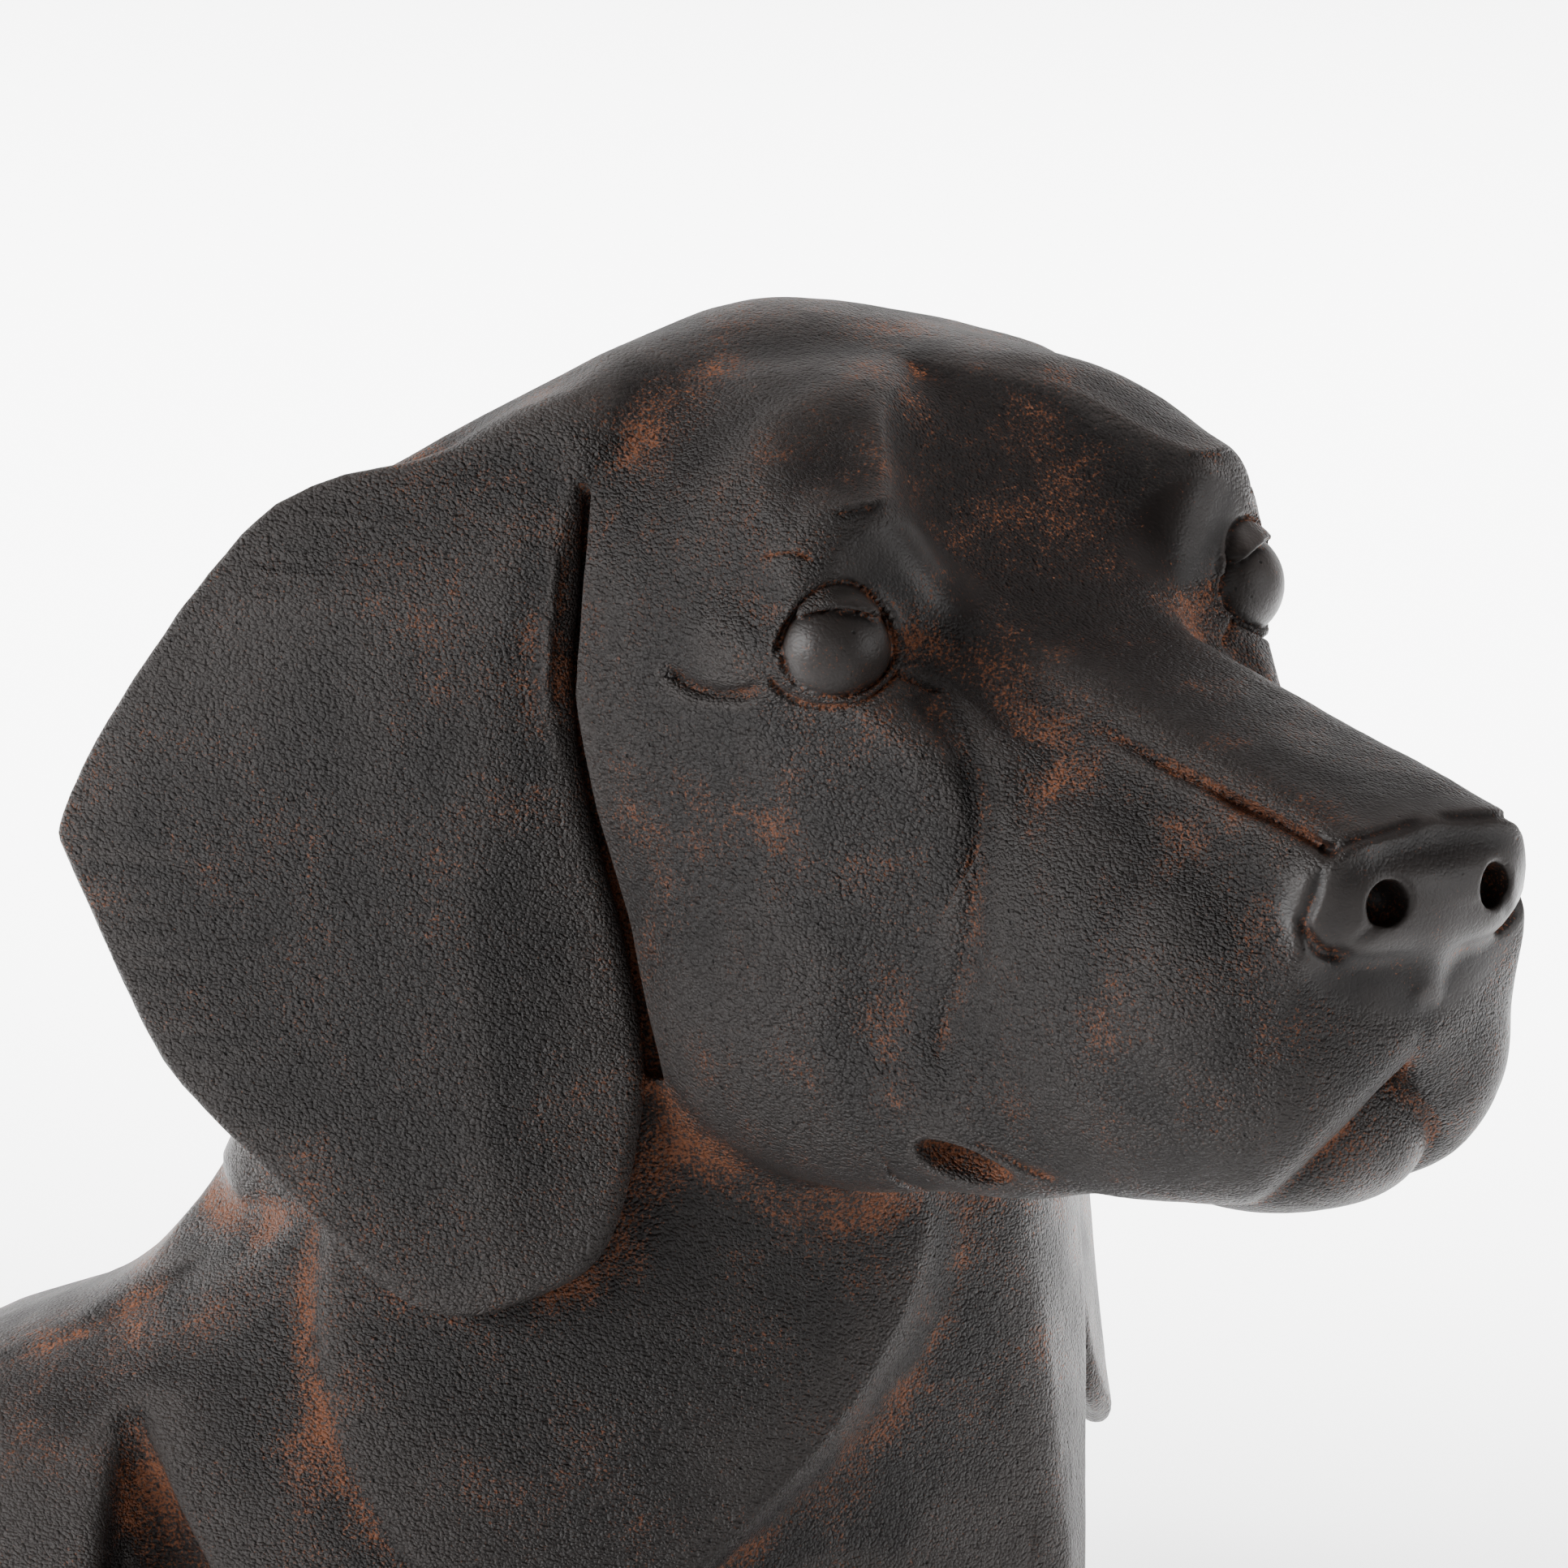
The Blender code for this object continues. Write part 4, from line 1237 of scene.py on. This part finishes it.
@dataclass
class HandModelling:
    """Unevenness that the modeller's hands left, laid over the mesh by Geometry Nodes."""

    lump_mm: float = 22.0
    lump_height_mm: float = 0.7
    mark_mm: float = 6.0
    mark_height_mm: float = 0.16
    foot_mm: float = 4.0
    seed: float = 3.7

    def tree(self, finish: bpy.types.Material) -> tuple[bpy.types.NodeTree, dict[str, float]]:
        """Builds the node tree.

        Args:
            finish: material that the result gets.

        Returns:
            The tree and the value of each of its named inputs.
        """
        sizes = {
            "Lump size": self.lump_mm / 1000, "Lump height": self.lump_height_mm / 1000,
            "Mark size": self.mark_mm / 1000, "Mark height": self.mark_height_mm / 1000, "Seed": self.seed,
        }
        tree = bpy.data.node_groups.new("hand_modelling", "GeometryNodeTree")
        tree.interface.new_socket("Geometry", in_out="INPUT", socket_type="NodeSocketGeometry")
        for name in sizes:
            tree.interface.new_socket(name, in_out="INPUT", socket_type="NodeSocketFloat")
        tree.interface.new_socket("Geometry", in_out="OUTPUT", socket_type="NodeSocketGeometry")
        given = add_node(tree, "NodeGroupInput").outputs
        sleek = add_node(tree, "GeometryNodeInputNamedAttribute", {"Name": "sleek"}, data_type="FLOAT").outputs[0]
        rough = add_node(tree, "ShaderNodeMapRange", {"Value": sleek, "To Min": 1.0, "To Max": 0.25}).outputs[0]
        push = None
        for size, height in (("Lump size", "Lump height"), ("Mark size", "Mark height")):
            scale = add_node(tree, "ShaderNodeMath", {0: 1.0, 1: given[size]}, operation="DIVIDE").outputs[0]
            noise = add_node(tree, "ShaderNodeTexNoise", {
                "W": given["Seed"], "Scale": scale, "Detail": 1.0}, noise_dimensions="4D").outputs[0]
            level = add_node(tree, "ShaderNodeMath", {0: noise, 1: 0.5}, operation="SUBTRACT").outputs[0]
            level = add_node(tree, "ShaderNodeMath", {0: level, 1: given[height]}, operation="MULTIPLY").outputs[0]
            push = level if push is None else add_node(tree, "ShaderNodeMath", {0: push, 1: level}).outputs[0]
        push = add_node(tree, "ShaderNodeMath", {0: push, 1: rough}, operation="MULTIPLY").outputs[0]
        where = add_node(tree, "GeometryNodeInputPosition").outputs[0]
        height = add_node(tree, "ShaderNodeSeparateXYZ", {0: where}).outputs["Z"]
        above = add_node(tree, "ShaderNodeMapRange", {
            "Value": height, "From Max": self.foot_mm / 1000, "To Max": 2.0}).outputs[0]
        push = add_node(tree, "ShaderNodeMath", {0: push, 1: above}, operation="MULTIPLY").outputs[0]
        outward = add_node(tree, "GeometryNodeInputNormal").outputs[0]
        offset = add_node(tree, "ShaderNodeVectorMath", {0: outward, "Scale": push}, operation="SCALE").outputs[0]
        moved = add_node(tree, "GeometryNodeSetPosition", {"Geometry": given["Geometry"], "Offset": offset})
        real = add_node(tree, "GeometryNodeRealizeInstances", {0: moved.outputs[0]})
        dressed = add_node(tree, "GeometryNodeSetMaterial", {"Geometry": real.outputs[0], "Material": finish})
        add_node(tree, "NodeGroupOutput", {0: dressed.outputs[0]})
        return tree, sizes


def grow(name: str, mesh: bpy.types.Mesh, tree: bpy.types.NodeTree, sizes: dict[str, float]) -> bpy.types.Object:
    """Runs a node tree on a mesh and keeps the result as a plain piece.

    Args:
        name: the piece's name.
        mesh: what the tree starts from.
        tree: the node tree.
        sizes: the value of each of its named inputs.

    Returns:
        The finished piece.
    """
    carrier = bpy.data.objects.new(name + "_source", mesh)
    bpy.context.scene.collection.objects.link(carrier)
    nodes = carrier.modifiers.new(tree.name, "NODES")
    nodes.node_group = tree
    for socket in tree.interface.items_tree:
        if socket.in_out == "INPUT" and socket.name in sizes:
            nodes[socket.identifier] = sizes[socket.name]
    evaluated = carrier.evaluated_get(bpy.context.evaluated_depsgraph_get())
    result = bpy.data.meshes.new_from_object(evaluated)
    carrier.modifiers.remove(nodes)
    bpy.data.objects.remove(carrier, do_unlink=True)
    piece = bpy.data.objects.new(name, result)
    bpy.context.scene.collection.objects.link(piece)
    return piece


@dataclass(frozen=True)
class Panel:
    """A square soft light, with metres to the right of the head, above it and towards the camera."""

    name: str
    right: float
    up: float
    near: float
    size: float
    power: float


@dataclass
class Studio:
    """Pale floor, soft lights and the photograph's camera."""

    distance: float = 5.0
    lens: float = 741.0
    towards_camera: Vec = (-0.9354, -0.2863, 0.208)
    image_right: Vec = (0.292, -0.9566, 0.0)
    image_up: Vec = (0.199, 0.0609, 0.978)
    head_origin: Vec = (-0.04067, -0.06577, 0.176)
    centre_offset: tuple[float, float] = (-20.2, -12.86)
    floor_size: float = 12.0
    paper_glow: float = 0.24
    panels: tuple[Panel, ...] = (
        Panel("left_panel", -1.9, 0.2, 0.45, 1.4, 66.0),
        Panel("right_panel", 1.7, 0.25, 0.6, 0.9, 11.0),
        Panel("front_panel", -0.3, 0.4, 2.2, 1.2, 6.0),
    )
    backdrop_panel: Panel = Panel("backdrop_panel", 0.0, 0.55, -0.95, 1.5, 62.0)
    backdrop_spread: float = 95.0
    sky: tuple[float, float] = (0.08, 2.5)
    sky_turn: tuple[float, float] = (0.1, -0.8)
    dusk_rise: tuple[float, float] = (0.12, 0.42)
    dusk: float = 0.05

    def aim(self) -> Vector:
        """The point at the middle of the picture."""
        right, up = (Vector(axis).normalized() for axis in (self.image_right, self.image_up))
        return Vector(self.head_origin) + (right * self.centre_offset[0] + up * self.centre_offset[1]) * PART

    def camera(self) -> None:
        """Sets up the camera at the photograph's viewing angle."""
        lens = bpy.data.cameras.new("photo_camera")
        lens.lens = self.lens
        lens.sensor_width = 36.0
        lens.clip_end = 50.0
        camera = bpy.data.objects.new("photo_camera", lens)
        bpy.context.scene.collection.objects.link(camera)
        back = Vector(self.towards_camera).normalized()
        camera.location = self.aim() + back * self.distance
        camera.rotation_euler = back.to_track_quat("Z", "Y").to_euler()
        bpy.context.scene.camera = camera

    def light(self, panel: Panel) -> bpy.types.Object:
        """Hangs one soft light, aimed at the head.

        Args:
            panel: the light's place, size and power.

        Returns:
            The light.
        """
        lamp = bpy.data.lights.new(panel.name, "AREA")
        lamp.size = panel.size
        lamp.energy = panel.power
        holder = bpy.data.objects.new(panel.name, lamp)
        bpy.context.scene.collection.objects.link(holder)
        towards = Vector((self.towards_camera[0], self.towards_camera[1], 0)).normalized()
        away = Vector(self.image_right).normalized() * panel.right + towards * panel.near + Vector((0, 0, panel.up))
        holder.location = self.aim() + away
        holder.rotation_euler = away.to_track_quat("Z", "Y").to_euler()
        return holder

    def floor(self) -> bpy.types.Object:
        """Lays the pale floor.

        Returns:
            The floor.
        """
        half = self.floor_size / 2
        mesh = bpy.data.meshes.new("floor")
        mesh.from_pydata([(-half, -half, 0), (half, -half, 0), (half, half, 0), (-half, half, 0)], [], [(0, 1, 2, 3)])
        paper = bpy.data.materials.new("white_paper")
        paper.use_nodes = True
        shader = paper.node_tree.nodes["Principled BSDF"]
        shader.inputs["Base Color"].default_value = linear("#FCFCFC")
        shader.inputs["Emission Color"].default_value = linear("#FFFFFF")
        shader.inputs["Emission Strength"].default_value = self.paper_glow
        shader.inputs["Roughness"].default_value = 0.9
        mesh.materials.append(paper)
        floor = bpy.data.objects.new("floor", mesh)
        bpy.context.scene.collection.objects.link(floor)
        return floor

    def build(self) -> None:
        """Sets up the whole studio."""
        self.camera()
        for panel in self.panels:
            self.light(panel)
        overhead = self.light(self.backdrop_panel)
        overhead.rotation_euler = (0, 0, 0)
        overhead.data.spread = radians(self.backdrop_spread)
        overhead.visible_glossy = False
        world = bpy.data.worlds.new("studio")
        bpy.context.scene.world = world
        world.use_nodes = True
        tree = world.node_tree
        tree.nodes.clear()
        way = add_node(tree, "ShaderNodeTexCoord").outputs["Generated"]
        behind = add_node(tree, "ShaderNodeVectorMath", {0: way, 1: self.towards_camera}, operation="DOT_PRODUCT")
        glow = add_node(tree, "ShaderNodeMapRange", {
            "Value": behind.outputs["Value"], "From Min": self.sky_turn[0], "From Max": self.sky_turn[1],
            "To Min": self.sky[0], "To Max": self.sky[1]}, clamp=True, interpolation_type="SMOOTHSTEP").outputs[0]
        rise = add_node(tree, "ShaderNodeSeparateXYZ", {0: way}).outputs["Z"]
        dusk = add_node(tree, "ShaderNodeMapRange", {
            "Value": rise, "From Min": self.dusk_rise[0], "From Max": self.dusk_rise[1],
            "To Min": 1.0, "To Max": self.dusk}, clamp=True).outputs[0]
        glow = add_node(tree, "ShaderNodeMath", {0: glow, 1: dusk}, operation="MULTIPLY").outputs[0]
        sky = add_node(tree, "ShaderNodeBackground", {"Color": (1, 1, 1, 1), "Strength": glow})
        add_node(tree, "ShaderNodeOutputWorld", {"Surface": sky.outputs[0]})
        self.floor()


def main() -> None:
    """Builds the bust and the studio."""
    logging.basicConfig(level=logging.INFO, format="%(name)s: %(message)s")
    Studio().build()
    finish = PatinatedCast().material()
    casting = Casting(Bust())
    mesh = casting.build()
    piece = grow("bust_casting", mesh, *HandModelling().tree(finish))
    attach(piece, "root")
    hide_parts("dog_bust")
    LOG.info("%s: %d triangles", piece.name, len(piece.data.polygons))


if __name__ == "__main__":
    main()
